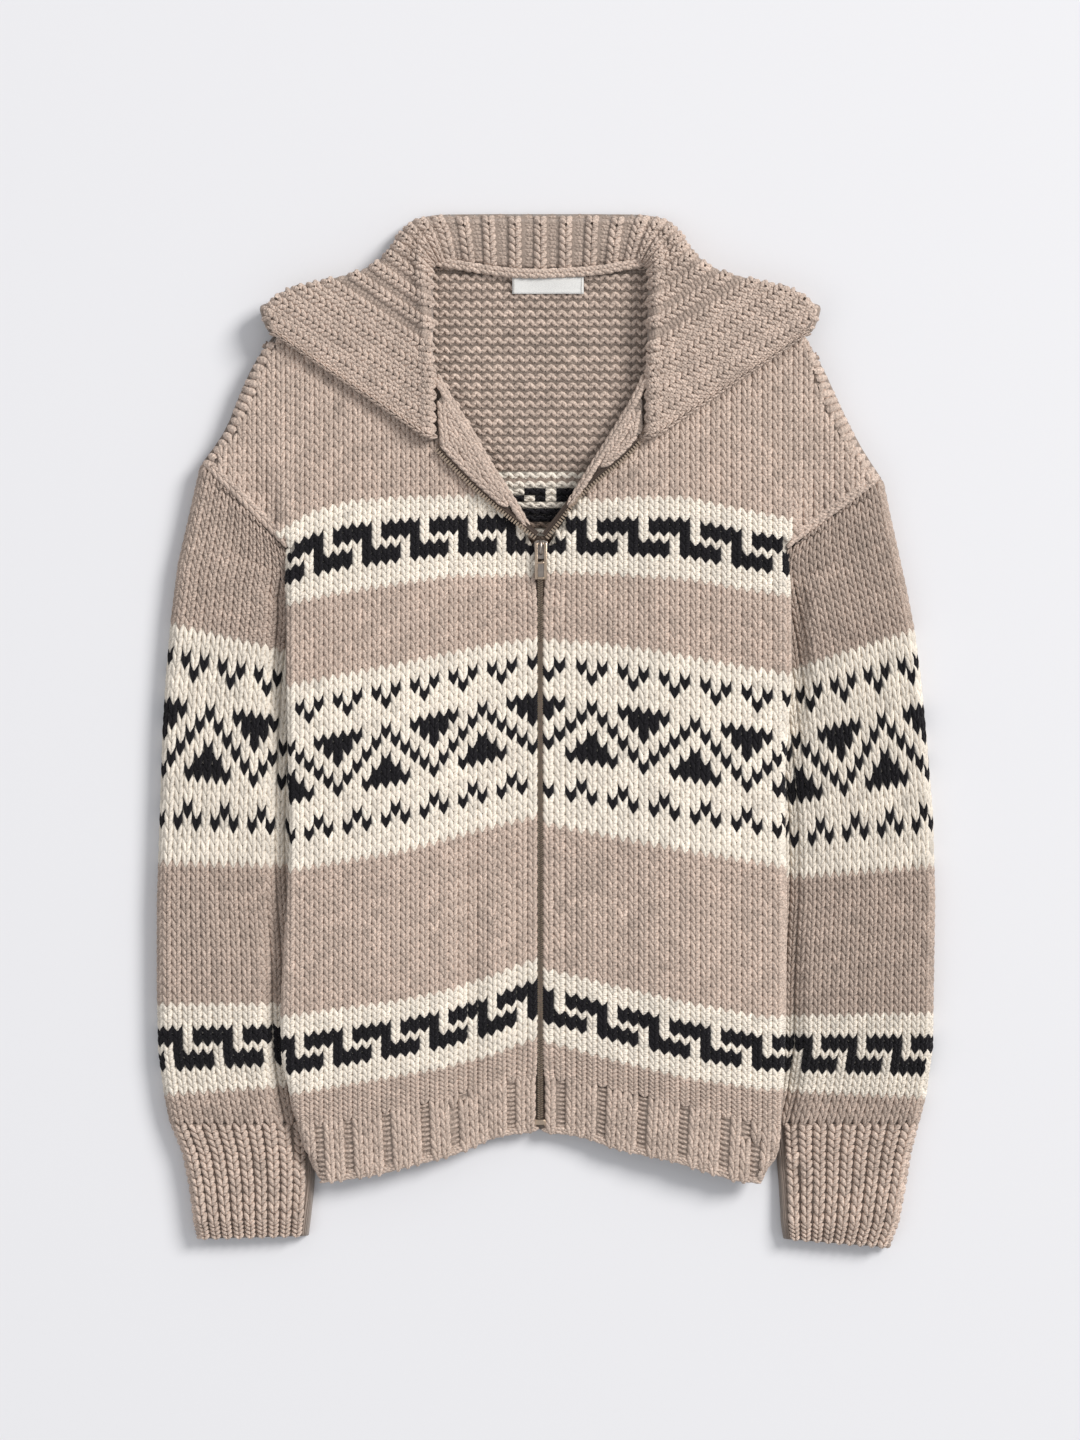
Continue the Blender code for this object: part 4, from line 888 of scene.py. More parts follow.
def knit_front(side, name):
    """A front's stitches, cut off at the zip, the fold, the collar, the armhole and the shoulder."""
    knit = Knitting()
    col, row = cells(FRONT_COLUMNS, FRONT_ROWS)
    x, y = flat_front(side, col, row)
    gap = signed_gap(x, y)[0]
    radius = skin_radius(x, y)[2]
    inner_edge = np.vstack(neck_edge(side))
    edge_x = np.interp(y, inner_edge[:, 1], inner_edge[:, 0])
    (ax, ay), (bx, by) = COLLAR_EDGE[side]
    collar_y = ay + (by - ay) * (x - ax) / (bx - ax) + 10.0
    keep = (gap > -0.62 * radius) & (side * (x - edge_x) > 1.0) & (y < collar_y)
    keep &= (armhole_inside(x, y, side) > 5.0) | (y < UNDERARM_Y - 2.0)
    seam = rounded(SHOULDER_SEAM[side], 6)
    seam_x = np.interp(y, seam[:, 1], seam[:, 0])
    keep &= (side * (seam_x - x) > 1.5) | (y < seam[0, 1])
    col, row, x, y = col[keep], row[keep], x[keep], y[keep]

    def place(c, r):
        return roll_over(*flat_front(side, c, r))

    yarn = chart("front", side, row, col, (0, 19, 55))
    yarn = np.where(beyond_fold(x, y), BEIGE, yarn)
    place_stitches(knit, KNIT, place, col, row, yarn, 1.2, turn=side)
    knit_seams(knit, side, seam)
    return knit.make(name)


def on_front(points, offset=0.0):
    """Flat places set on the fronts' rounded skin."""
    points = np.asarray(points, float)
    spot = roll_over(points[:, 0], points[:, 1])
    spot[:, 2] += offset
    return spot


def knit_seams(knit, side, seam):
    """The shoulder's ladder of turned stitches and the armhole's chain."""
    line = along(seam, count=int(np.linalg.norm(np.diff(seam, axis=0), axis=1).sum() / 5.4))
    out = outwards(line, side)
    half = 3.6
    for reach in (2.5, 10.0):
        inside, outside = on_front(line + out * (reach - half)), on_front(line + out * (reach + half))
        middle = on_front(line + out * reach)
        across = np.gradient(middle, axis=0)
        up = outside - inside
        normal = np.cross(across, up)
        normal *= np.where(normal[:, 2:] < 0, -1.0, 1.0) / np.linalg.norm(normal, axis=1, keepdims=True)
        seen = normal[:, 2] > 0.2
        knit.add(LOBE, (middle - normal * 1.5)[seen], across[seen] * 1.05, up[seen] * (8.0 / (2.0 * half)),
                 normal[seen], np.full(seen.sum(), BEIGE), 1.15)
    top = edge_points(SHOULDERS, side)[0] - np.array([side * 3.0, 1.0])
    low = np.array([side_x(UNDERARM_Y, side) - side * 1.0, UNDERARM_Y + 2.0])
    arm = np.linspace(top, low, 16)
    way = (low - top) / np.linalg.norm(low - top)
    inwards = np.array([-side * abs(way[1]), abs(way[0])])
    share = np.linspace(0.0, 1.0, 16)
    spot = arm + inwards * 1.6
    z = body_top(spot[:, 0], spot[:, 1]) - 2.0 * smooth_step(0.12, 0.0, share)
    z = z - 1.5 * smooth_step(0.7, 1.0, share)
    chain(knit, np.column_stack([spot, z]), BEIGE, pitch=6.4, width=6.8, lift=-1.9)


def lattice(outer, inner):
    """The points of a wall, its outer grid first and its inner grid second."""
    return np.concatenate([outer.reshape(-1, 3), inner.reshape(-1, 3)])


def wall_object(name, outer, inner, material, row, col, closed_cols=False):
    rows, cols = outer.shape[:2]
    faces = np.array(wall_faces(rows, cols, closed_cols))
    made = mesh_object(name, lattice(outer, inner), faces, material)
    for word, value in (("row", row), ("col", col)):
        layer = made.data.attributes.new(word, "FLOAT", "POINT")
        layer.data.foreach_set("value", np.tile(np.ravel(value), 2).astype(np.float32))
    work = bmesh.new()
    work.from_mesh(made.data)
    bmesh.ops.recalc_face_normals(work, faces=work.faces)
    work.to_mesh(made.data)
    work.free()
    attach(made, "garment")
    area = grid_area(outer, closed_cols)
    print(name, "one face", round(area, 5), "m2")
    return made


def grid_area(outer, closed_cols=False):
    """Area of one face in square metres."""
    p = np.concatenate([outer, outer[:, :1]], axis=1) if closed_cols else outer
    a = np.cross(p[1:, :-1] - p[:-1, :-1], p[:-1, 1:] - p[:-1, :-1])
    b = np.cross(p[1:, :-1] - p[1:, 1:], p[:-1, 1:] - p[1:, 1:])
    return float((np.linalg.norm(a, axis=-1) + np.linalg.norm(b, axis=-1)).sum() / 2.0) * 1e-6


def fabric_of(x, y):
    """Fabric row and column under a place on the body."""
    row = np.where(x < ZIP_X, band_row(x.ravel(), y.ravel(), -1).reshape(x.shape),
                   band_row(x.ravel(), y.ravel(), 1).reshape(x.shape))
    row = np.where(beyond_fold(x, y), -5.0, row)
    side = np.where(x < ZIP_X, -1.0, 1.0)
    col = side * (x - ZIP_X) / np.where(x < ZIP_X, PITCH[-1], PITCH[1])
    return row, col


SHELL_HEIGHTS = np.concatenate([
    np.linspace(0.0, UNDERARM_SHARE, 44), np.linspace(UNDERARM_SHARE, 0.95, 26)[1:],
    [0.96, 0.968, 0.976, 0.982, 0.988, 0.994, 1.0],
])


def front_shell(side, name):
    lower, armhole = outer_edge(side)
    zip_edge, opened = neck_edge(side)
    left = two_stage(lower, armhole, SHELL_HEIGHTS)
    right = two_stage(zip_edge, opened, SHELL_HEIGHTS)
    shares = [edge_shares(np.linalg.norm(b - a), 34, False) for a, b in zip(left, right)]
    grid = patch(left, right, hem_line(side, False), shoulder_line(side), shares, SHELL_HEIGHTS)
    drop = np.full(grid.shape[:2], -STITCH_RISE)
    outer, inner = shell(grid, upper=True, raised=drop)
    row, col = fabric_of(grid[..., 0], grid[..., 1])
    return wall_object(name, outer, inner, MATERIALS["banded"], row=row, col=col)


def back_shell():
    ends = [two_stage(*outer_edge(side), SHELL_HEIGHTS) for side in (-1, 1)]
    bottom = np.vstack([hem_line(-1, False), hem_line(1, False)[::-1]])
    neck = np.array([(-66.0, 323.0), (-45.0, 320.0), (-4.0, 317.5), (37.0, 320.0), (58.0, 323.0)])
    top = np.vstack([shoulder_line(-1), neck, shoulder_line(1)[::-1]])
    shares = [edge_shares(np.linalg.norm(b - a), 60, True) for a, b in zip(*ends)]
    grid = patch(ends[0], ends[1], bottom, top, shares, SHELL_HEIGHTS)
    outer, inner = shell(grid, upper=False)
    seen = smooth_step(112.0, 100.0, np.abs(grid[..., 0] + 4.0)) * smooth_step(100.0, 116.0, grid[..., 1])
    inner[..., 2] -= 1.7 * seen
    row, col = fabric_of(grid[..., 0], grid[..., 1])
    return wall_object("back_wall", outer, inner, MATERIALS["banded"], row=row, col=col)


HEM_ROWS = 6
HEM_BACK_POINTS = 120


def hem_back_shell():
    top_line = np.vstack([hem_line(-1, False), hem_line(1, False)[::-1]])
    bottom_line = np.vstack([hem_line(-1, True), hem_line(1, True)[::-1]])
    heights = np.linspace(0.0, 1.0, 8)
    shares = edge_shares(320.0, HEM_BACK_POINTS, True)
    low, high = along(bottom_line, at=shares), along(top_line, at=shares)
    grid = np.array([low + (high - low) * h for h in heights])
    grid[-1, :, 1] -= HEM_SEAM
    outer, inner = shell(grid, upper=False)
    rib = np.tile(np.arange(HEM_BACK_POINTS) / 3.0, (len(heights), 1))
    row = np.tile(heights[:, None] * HEM_ROWS, (1, HEM_BACK_POINTS))
    return wall_object("hem_back_wall", outer, inner, MATERIALS["plain"], row=row, col=rib)


def hem_spot(side, col, row):
    """A place on a front's hem: columns follow the body's, rows run down from the rib's top."""
    x = ZIP_X + side * (ZIP_GAP / 2.0 + (col + 0.5) * PITCH[side])
    top, low = hem_line(side, False), hem_line(side, True)
    order = np.argsort(top[:, 0])
    high_y, low_y = np.interp(x, top[order, 0], top[order, 1]), np.interp(x, low[order, 0], low[order, 1])
    share = (row + 0.5) / HEM_ROWS
    lean = (high_y - low_y) * share
    return x - side * 2.0 * share * smooth_step(0.0, 8.0, col), high_y - lean


def knit_hem(side, name):
    knit = Knitting(0.97)
    col, row = cells(HEM_COLUMNS, (0, HEM_ROWS))
    x, y = hem_spot(side, col, row)
    keep = signed_gap(x, y)[0] > -4.5
    col, row, x = col[keep], row[keep], x[keep]
    recess = np.zeros(len(x), bool)
    for left_x, right_x in HEM_RECESSES:
        recess |= np.abs(x - (left_x if side < 0 else right_x)) < PITCH[side] * 0.5

    def place(c, r):
        return roll_over(*hem_spot(side, c, r))

    plain = ~recess
    place_stitches(knit, KNIT, place, col[plain], row[plain], np.full(plain.sum(), BEIGE), 1.1, 1.6, side)
    for half in (-0.25, 0.25):
        def finer(c, r, half=half):
            return place(c, r / 2.0 + half - 0.25)
        place_stitches(knit, WAVE_BAR, finer, col[recess], row[recess] * 2.0 + 0.5,
                       np.full(recess.sum(), BEIGE), 1.3, 3.0, side, 1.32)
    edge = hem_line(side, True)[::-1]
    low = on_front(edge + np.array([0.0, 0.8]), -2.2)
    chain(knit, low, BEIGE, pitch=6.6, width=5.0)
    return knit.make(name)


def hem_front_shell(side, name):
    top_line, bottom_line = hem_line(side, False), hem_line(side, True)
    start, end = side_x(-295.0, side), ZIP_X + side * ZIP_GAP / 2.0
    shares = edge_shares(abs(end - start), 110, False)
    heights = np.array([0.0, 0.03, 0.1, 0.4, 0.75, 0.94, 1.0])
    low, high = along(bottom_line, at=shares), along(top_line, at=shares)
    grid = np.array([low + (high - low) * h for h in heights])
    grid[-1, :, 1] -= HEM_SEAM
    x = grid[..., 0]
    deep = np.zeros(x.shape)
    for left_x, right_x in HEM_RECESSES:
        deep = np.maximum(deep, smooth_step(5.2, 2.6, np.abs(x - (left_x if side < 0 else right_x))))
    edge_roll = np.array([-1.6, -0.6, 0.0, 0.0, 0.0, 0.0, 0.0])[:, None]
    outer, inner = shell(grid, upper=True, raised=-1.6 - 1.0 * deep + edge_roll)
    inner[..., 2] = np.minimum(inner[..., 2], outer[..., 2] - 1.0)
    return wall_object(name, outer, inner, MATERIALS["plain"], row=grid[..., 1] / 6.0, col=x / 7.0)


def tube_rows(table, t):
    """A sleeve's or cuff's table at a row number that may lie between two rows."""
    table = np.array(table)
    index = np.arange(len(table))
    return np.stack([np.interp(t, index, table[:, k]) for k in range(6)], axis=-1)


def tube_height(row, side, s, length):
    """Height at a distance s from the outer edge; the tucked edge lies lower, under the body."""
    high, low = row[..., 4], row[..., 5]
    covered = np.abs(side_x(row[..., 3], side) - row[..., 2])
    tucked = low < high - TUCKED_IF_LOWER_BY
    start = np.where(tucked, length - covered - TUCK_STARTS, length * 0.4)
    stop = np.where(tucked, length - covered - TUCK_ENDS, length * 0.9)
    share = np.clip((s - start) / (stop - start), 0.0, 1.0)
    return high + (low - high) * share * share * (3 - 2 * share)


SLEEVE_FOLDS = {
    -1: ((-205.0, 120.0, -215.0, -20.0, 12.0, 1.0), (-190.0, 60.0, -192.0, -180.0, 9.0, -1.4),
         (-235.0, -60.0, -232.0, -250.0, 16.0, 0.9), (-225.0, 150.0, -205.0, 110.0, 9.0, -0.9)),
    1: ((198.0, 112.0, 210.0, -30.0, 12.0, 1.0), (182.0, 50.0, 184.0, -190.0, 9.0, -1.4),
        (232.0, -70.0, 230.0, -250.0, 16.0, 0.9), (220.0, 140.0, 200.0, 104.0, 9.0, -0.9)),
}


def tube_spot(table, side, t, a, folded=True):
    """A place on a sleeve or cuff: t counts the table's rows, a is the flat distance from its outer edge."""
    row = tube_rows(table, t)
    outer_end, inner_end = row[..., 0:2], row[..., 2:4]
    length = np.linalg.norm(inner_end - outer_end, axis=-1)
    radius = row[..., 4] / 2.0
    theta = np.clip((radius - a) / radius, 0.0, 2.2)
    s = np.where(a < radius, radius - radius * np.sin(theta), a)
    z = np.where(a < radius, radius + radius * np.cos(theta), tube_height(row, side, s, length))
    xy = outer_end + (inner_end - outer_end) / length[..., None] * s[..., None]
    if folded:
        z = z + crease(xy[..., 0], xy[..., 1], SLEEVE_FOLDS[side]) * np.cos(np.minimum(theta, 1.5))
    return np.concatenate([xy, z[..., None]], axis=-1)


def tube_param(table, side, a, y):
    """The table row at which a place a from the outer edge lies at height y."""
    t = np.linspace(0.0, len(table) - 1.0, 240)
    spots = tube_spot(table, side, t[:, None] + 0.0 * a[None], a[None] + 0.0 * t[:, None], False)
    heights = spots[..., 1]
    k = np.clip((heights > y[None]).sum(0) - 1, 0, len(t) - 2)
    high = np.take_along_axis(heights, k[None], 0)[0]
    low = np.take_along_axis(heights, k[None] + 1, 0)[0]
    share = np.clip((high - y) / np.maximum(high - low, 1e-6), -2.0, 2.0)
    return t[k] + share * (t[1] - t[0])


def sleeve_row_y(side, row, share):
    table = np.array(SLEEVE_LINES[side], float)
    outer = np.interp(row, table[:, 0], table[:, 1])
    inner = np.interp(row, table[:, 0], table[:, 2])
    return outer + (inner - outer) * share


def knit_sleeve(side, name):
    # The sleeves' yarn is darkened by a painted shade factor.
    knit = Knitting(SLEEVE_PAINTED_SHADE[side])
    table = SLEEVE_LEFT if side < 0 else SLEEVE_RIGHT
    rows = SLEEVE_LINES[side]
    pitch = SLEEVE_PITCH[side]
    widening = 0.08 if side < 0 else 0.03

    def place(c, r):
        a = (c - 1.0) * pitch * (1.0 + widening * smooth_step(rows[1][0] + 14.0, rows[3][0] - 2.0, r))
        share = np.clip(a / SLEEVE_SPAN, 0.0, 1.0)
        y = sleeve_row_y(side, r + 0.5, share)
        t = tube_param(table, side, a, y)
        return tube_spot(table, side, np.clip(t, 0.0, len(table) - 1.0), a)

    col, row = cells(SLEEVE_COLUMNS, (0, rows[-1][0]))
    spot = place(col, row)
    keep = spot[:, 0] * side > side_x(spot[:, 1], side) * side - 9.0
    keep &= (armhole_inside(spot[:, 0], spot[:, 1], side) < 1.0) | (spot[:, 1] < UNDERARM_Y)
    col, row = col[keep], row[keep]
    yarn = chart("sleeve", side, row, col, (None, rows[1][0], rows[3][0]))
    place_stitches(knit, SLEEVE_KNIT, place, col, row, yarn, 1.5, STITCH_RISE + 0.35, turn=-side)
    return knit.make(name)


CUFF_ROWS = 16


def knit_cuff(side, name):
    """Ribs of knit columns with two rows of bars in each groove."""
    knit = Knitting(1.02)
    table = CUFF_LEFT if side < 0 else CUFF_RIGHT

    def place(c, r):
        t = (r + 0.5) / CUFF_ROWS * (len(table) - 1.0)
        row = tube_rows(table, t)
        length = np.linalg.norm(row[..., 2:4] - row[..., 0:2], axis=-1)
        usable = length - row[..., 4] * 0.5 - 1.0
        a = row[..., 4] * 0.22 + (c + 0.25) / CUFF_RIBS * usable
        return tube_spot(table, side, t, a, False)

    col, row = cells((-1, CUFF_RIBS), (0, CUFF_ROWS))

    yarn = np.full(len(col), BEIGE)
    place_stitches(knit, RIB_KNIT, place, col, row, yarn, 1.35, 1.6, -side, 0.78)
    for half in (-0.25, 0.25):
        place_stitches(knit, DEEP_BAR, place, col + 0.5, row + half, yarn, 0.8, 3.1, -side, 0.4)
    return knit.make(name)


def tube_shell(table, side, name, steps, drop, material, folded):
    """A closed wall following a sleeve or cuff, its skin lowered to carry the stitches."""
    t = np.linspace(0.0, len(table) - 1.0, steps)
    rows = tube_rows(table, t)
    outer, inner = [], []
    for row in rows:
        length = float(np.linalg.norm(row[2:4] - row[0:2]))
        r_out, r_in = row[4] / 2.0, row[5] / 2.0
        up = [(r_out - r_out * math.cos(a), r_out + r_out * math.sin(a)) for a in np.linspace(-1.2, 1.5, 9)]
        s = np.linspace(r_out, length - r_in, 40)[1:-1]
        z = tube_height(row[None], side, s, length)
        over = list(zip(s, z))
        down = [(length - r_in + r_in * math.sin(a), r_in + r_in * math.cos(a))
                for a in np.linspace(0.1, 2.8, 9)]
        back = [(q, 0.0) for q in np.linspace(length - r_in, r_out, 14)]
        line = np.array(up + over + down + back)
        way = np.roll(line, -1, axis=0) - np.roll(line, 1, axis=0)
        normal = np.stack([-way[:, 1], way[:, 0]], axis=1) / np.linalg.norm(way, axis=1)[:, None]
        weight = np.array(smooth_step(0.5, 4.0, line[:, 1]))[:, None]
        skin = line - normal * drop * weight
        lining = line - normal * (drop * weight + SHELL_WALL)
        along_way = (row[2:4] - row[0:2]) / length
        for store, points in ((outer, skin), (inner, lining)):
            xy = row[0:2] + along_way * points[:, :1]
            height = points[:, 1]
            if folded:
                raised = crease(xy[:, 0], xy[:, 1], SLEEVE_FOLDS[side])
                height = height + raised * smooth_step(4.0, 12.0, height)
            store.append(np.column_stack([xy, np.maximum(height, 0.0)]))
    outer, inner = np.array(outer), np.array(inner)
    inner[..., 2] = np.clip(inner[..., 2], 0.6, None)
    share = np.clip(np.abs(outer[..., 0] - rows[:, None, 0]) / SLEEVE_SPAN, 0.0, 1.0)
    table_rows = np.array(SLEEVE_LINES[side], float)
    y = outer[..., 1]
    fine = np.arange(0.0, table_rows[-1, 0] + 0.5, 0.5)
    heights = np.stack([sleeve_row_y(side, r, share) for r in fine])
    row_at = fine[np.clip((heights > y).sum(0), 0, len(fine) - 1)]
    col_at = np.linspace(0.0, 36.0, outer.shape[1])[None] + 0.0 * y
    return wall_object(name, outer, inner, material, row_at, col_at, closed_cols=True)


RIB_STEPS = 4           # sections of the collar between a groove and a crest
PATH_STEPS = 3


def fine_collar():
    """The collar's middle surface: sections round the neck by points from the seam outwards."""
    table = np.array([collar_path(row) for row in COLLAR])
    count = 2 * COLLAR_HALF_RIBS * RIB_STEPS + 1
    half = []
    for share in np.linspace(0.0, COLLAR_LAST_ROW, count):
        k = min(int(share), COLLAR_LAST_ROW - 1)
        t = share - k
        before, after = max(k - 1, 0), min(k + 2, COLLAR_LAST_ROW)
        a, b, c, d = table[before], table[k], table[k + 1], table[after]
        eased = 0.5 * (2 * b + (c - a) * t + (2 * a - 5 * b + 4 * c - d) * t * t
                       + (3 * b - a - 3 * c + d) * t ** 3)
        half.append(0.5 * eased + 0.5 * (b + (c - b) * t))
    half = np.array(half)
    half[..., 2] = np.maximum(half[..., 2], COLLAR_CLOTH / 2.0)
    mirrored = half[:-1][::-1].copy()
    mirrored[..., 0] = 2 * COLLAR_MIRROR_X - mirrored[..., 0]
    whole = np.concatenate([half, mirrored])
    return np.array([rounded(line, PATH_STEPS) for line in whole])


def collar_normals(grid):
    normal = grid_normals(grid)
    if normal[len(grid) // 4, 7 * PATH_STEPS, 2] < 0:
        normal = -normal
    return normal


def collar_shell(grid, normal):
    half = COLLAR_CLOTH / 2.0
    count = grid.shape[1]
    on_top = smooth_step(count - 3.0, count - 8.0, np.arange(count))[None, :]
    outer = grid + normal * (half - STITCH_RISE * on_top)[..., None]
    inner = grid - normal * half
    low = grid[..., 2] < half + 0.3
    outer[..., 2] = np.where(low, 0.0, np.maximum(outer[..., 2], 0.0))
    inner[..., 2] = np.where(low, COLLAR_CLOTH, inner[..., 2])
    row = np.cumsum(np.linalg.norm(np.diff(grid, axis=1, prepend=grid[:, :1]), axis=-1), axis=1) / 6.2
    col = np.tile(np.arange(len(grid))[:, None] / (2.0 * RIB_STEPS), (1, count))
    return wall_object("collar_wall", outer, inner, MATERIALS["plain"], row=row, col=col)


# The collar's narrow front band on each side: x, lower end, upper end
ROLL_STRIPS = ((-83.0, 206.0, 276.0), (73.5, 212.0, 262.0))


def knit_collar(grid, normal, name):
    knit = Knitting(0.98)
    skin = grid + normal * (COLLAR_CLOTH / 2.0)
    length = np.concatenate([np.zeros((len(grid), 1)),
                             np.cumsum(np.linalg.norm(np.diff(skin, axis=1), axis=-1), axis=1)], axis=1)
    last = len(grid) - 1
    index = np.arange(len(grid))
    lies_flat = np.minimum(index, last - index) < last / COLLAR_LAST_ROW
    seen_until = np.where(lies_flat, grid.shape[1] - 1, grid.shape[1] - 7)

    def spot(share, w):
        share = np.clip(share, 0.0, last)
        k = np.minimum(share.astype(int), last - 1)
        t = (share - k)[:, None]
        ends = []
        for index in (k, k + 1):
            ends.append(np.array([[np.interp(x, length[i], skin[i, :, axis]) for axis in range(3)]
                                  for i, x in zip(index, w)]))
        return ends[0] * (1 - t) + ends[1] * t

    def lay(sections, width, template, pitch, rise, drop, offset=0.0, short=3.0, least=0.3, most=7.6):
        share, w = [], []
        for k in sections:
            near = int(min(max(k, 0), last))
            stop = length[near, seen_until[near]] - short
            count = int(stop / pitch)
            w += list((np.arange(count) + 0.5 + offset) * stop / count)
            share += [float(k)] * count
        share, w = np.array(share), np.array(w)
        left, right = spot(share - width, w), spot(share + width, w)
        before, after = spot(share, w - pitch / 2.0), spot(share, w + pitch / 2.0)
        centre = spot(share, w)
        across, up = right - left, after - before
        across -= up * ((across * up).sum(1) / (up * up).sum(1))[:, None]
        across *= np.minimum(1.0, most / np.linalg.norm(across, axis=1))[:, None]
        face = np.cross(across, up)
        face /= np.maximum(np.linalg.norm(face, axis=1, keepdims=True), 1e-9)
        near = np.clip(np.round(share).astype(int), 0, last)
        toward = np.array([normal[i, min(int(np.searchsorted(length[i], x)), normal.shape[1] - 1)]
                           for i, x in zip(near, w)])
        facing = (face * toward).sum(1)
        columns = np.unique(share)
        whole = np.array([facing[share == k].sum() for k in columns])
        flip = np.where(whole < 0, -1.0, 1.0)[np.searchsorted(columns, share)][:, None]
        face = face * flip
        seen = face[:, 2] > least
        knit.add(template, (centre - face * drop)[seen], (across * flip)[seen], up[seen], face[seen],
                 np.full(seen.sum(), BEIGE), rise)

    step = 2 * RIB_STEPS
    crests = np.arange(step, last, step)
    lay(crests, step * 0.37, RIB_KNIT, 5.0, 1.0, 1.7)
    grooves = np.arange(step // 2, last, step)
    plain = np.minimum(grooves, last - grooves) < 4.5 * step
    lay(grooves[plain], step * 0.26, KNIT, 5.0, 1.0, 2.0)
    grooves = grooves[~plain]
    for offset in (0.0, 0.5):
        lay(grooves, step * 0.24, DEEP_BAR, 5.6, 1.1, 2.5, offset - 0.25, 5.0, 0.35)
    for section in (1.0, last - 1.0):
        lay([section], step * 0.2, RIB_KNIT, 5.2, 1.3, 1.4)
    for x, low, high in ROLL_STRIPS:
        ys = np.linspace(low, high, 12)
        zs = 23.6 - 2.6 * np.linspace(1.0, 0.0, 12) ** 3
        chain(knit, np.column_stack([np.full(12, x), ys, zs]), BEIGE, pitch=6.2, width=7.0, lift=-1.6)
    return knit.make(name)


def facing_grid(side):
    fold_line, free_line = strip_between(side)
    sections = []
    for fold, free in zip(rounded(fold_line, 3), rounded(free_line, 3)):
        span = np.linalg.norm(free - fold)
        way = (free - fold) / span
        reach = np.array([0.0, 0.0, 0.9, 2.6, 5.0, span * 0.5 + 2.5, span])
        lift = np.array([-2.4, 0.2, 2.2, 2.9, 2.7, 2.7, 2.7])
        places = fold + way * reach[:, None]
        sections.append(np.column_stack([places, body_top(places[:, 0], places[:, 1]) + lift]))
    return np.array(sections)


def facing_wall(side, name):
    grid = facing_grid(side)
    normal = grid_normals(grid)
    if normal[18, 5, 2] < 0:
        normal = -normal
    half = FACING_CLOTH / 2.0
    row = np.tile(np.arange(len(grid))[:, None] * 0.6, (1, grid.shape[1]))
    return wall_object(name, grid + normal * (half - 1.2), grid - normal * half, MATERIALS["plain"],
                       row=row, col=np.tile(np.arange(7) / 2.0, (len(grid), 1)))


def knit_facing(side, name):
    """Stitches of the turned-out edge: columns along the fold, narrowing down to the zip."""
    knit = Knitting()
    fold = rounded(edge_points(V_FOLD, side))
    teeth = rounded(edge_points(V_TEETH, side))
    free = np.vstack([teeth, [(-77.0 if side < 0 else 67.0, 215.0), (-77.0 if side < 0 else 67.5, 240.0)]])
    count = 60
    fold, free = along(fold, count=count), along(free, count=count)
    span = np.linalg.norm(free - fold, axis=1)
    towards = (free - fold) / span[:, None]
    rows = [(1.2 + 5.4 * k, fold, 1.0) for k in range(5)] + [(6.2, free, -1.0)]
    for reach, base_line, sense in rows:
        room = 8.6 if sense > 0 else 7.0
        fits = span > reach + (room if reach > 2.0 else 3.0)
        if fits.sum() < 4:
            continue
        line = base_line[fits] + towards[fits] * reach * sense
        height = body_top(line[:, 0], line[:, 1]) + (4.6 if reach > 2.0 else 3.2)
        height = height - 3.0 * (1 - smooth_step(131.0, 160.0, line[:, 1]))
        tilt = (0.0, 0.0, 1.0) if reach > 2.0 else (side * -0.6, 0.0, 0.8)
        chain(knit, np.column_stack([line, height]), BEIGE, pitch=6.0, width=6.2, lift=-1.6, up_hint=tilt)
    return knit.make(name)


# Rows seen inside the back, from the neck down: height, yarn, how many stitches in ten are cream bumps
INSIDE_ROWS = (
    (184.0, BEIGE, 0), (178.5, CREAM, 0), (172.6, CREAM, 0), (167.4, BLACK, 4), (162.6, BLACK, 4),
    (158.2, CREAM, 0), (153.4, BLACK, 0), (148.6, BLACK, 2), (144.0, SHADE, 0), (139.0, CREAM, 0),
    (134.0, SHADE, 0), (129.0, BEIGE, 0), (124.0, BEIGE, 0),
)


def knit_inside(name):
    knit = Knitting()
    rows = [(y, BEIGE, 0) for y in np.arange(190.2, 326.0, 6.35)][::-1] + list(INSIDE_ROWS)
    ys = np.array([row[0] for row in rows])
    def place(c, r):
        x = ZIP_X + c * INSIDE_PITCH
        y = np.interp(r, np.arange(len(ys)), ys)
        z = body_under(x, y) + CLOTH
        return np.stack([x, y, z], axis=-1)

    col, row = cells(INSIDE_COLUMNS, (0, len(ys)))
    spot = place(col, row)
    keep = spot[:, 1] < 326.5
    for side, neck_x in ((-1, -82.0), (1, 74.0)):
        edge = np.vstack([edge_points(V_FOLD, side), (neck_x, 320.0)])
        limit = np.interp(spot[:, 1], edge[:, 1], edge[:, 0]) + side * 14.0
        keep &= side * spot[:, 0] < side * limit
    col, row = col[keep], row[keep]
    yarn = np.array([rows[int(r)][1] for r in row])
    share = np.array([rows[int(r)][2] for r in row])
    bumps = RANDOM.random(len(col)) * 10.0 < share
    yarn = np.where(bumps, CREAM, yarn)
    place_stitches(knit, PURL, place, col, row, yarn, 1.0, 1.5)
    seam = np.array([(-85.4, 331.1), (-60.2, 326.9), (-19.6, 321.3),
                     (28.7, 322.7), (60.2, 327.6), (78.4, 331.1)])
    seam = rounded(seam - np.array([0.0, 1.5]), 4)
    chain(knit, np.column_stack([seam, np.full(len(seam), 12.6)]), BEIGE, pitch=6.6, width=6.4, lift=-0.8)
    return knit.make(name)


def prism(outline_points, low, high):
    """A block over a flat outline, as points and triangles."""
    n = len(outline_points)
    points = [(x, y, z) for z in (low, high) for x, y in outline_points]
    faces = [tuple(range(n))[::-1], tuple(range(n, 2 * n))]
    faces += [(k, (k + 1) % n, n + (k + 1) % n, n + k) for k in range(n)]
    return points, faces


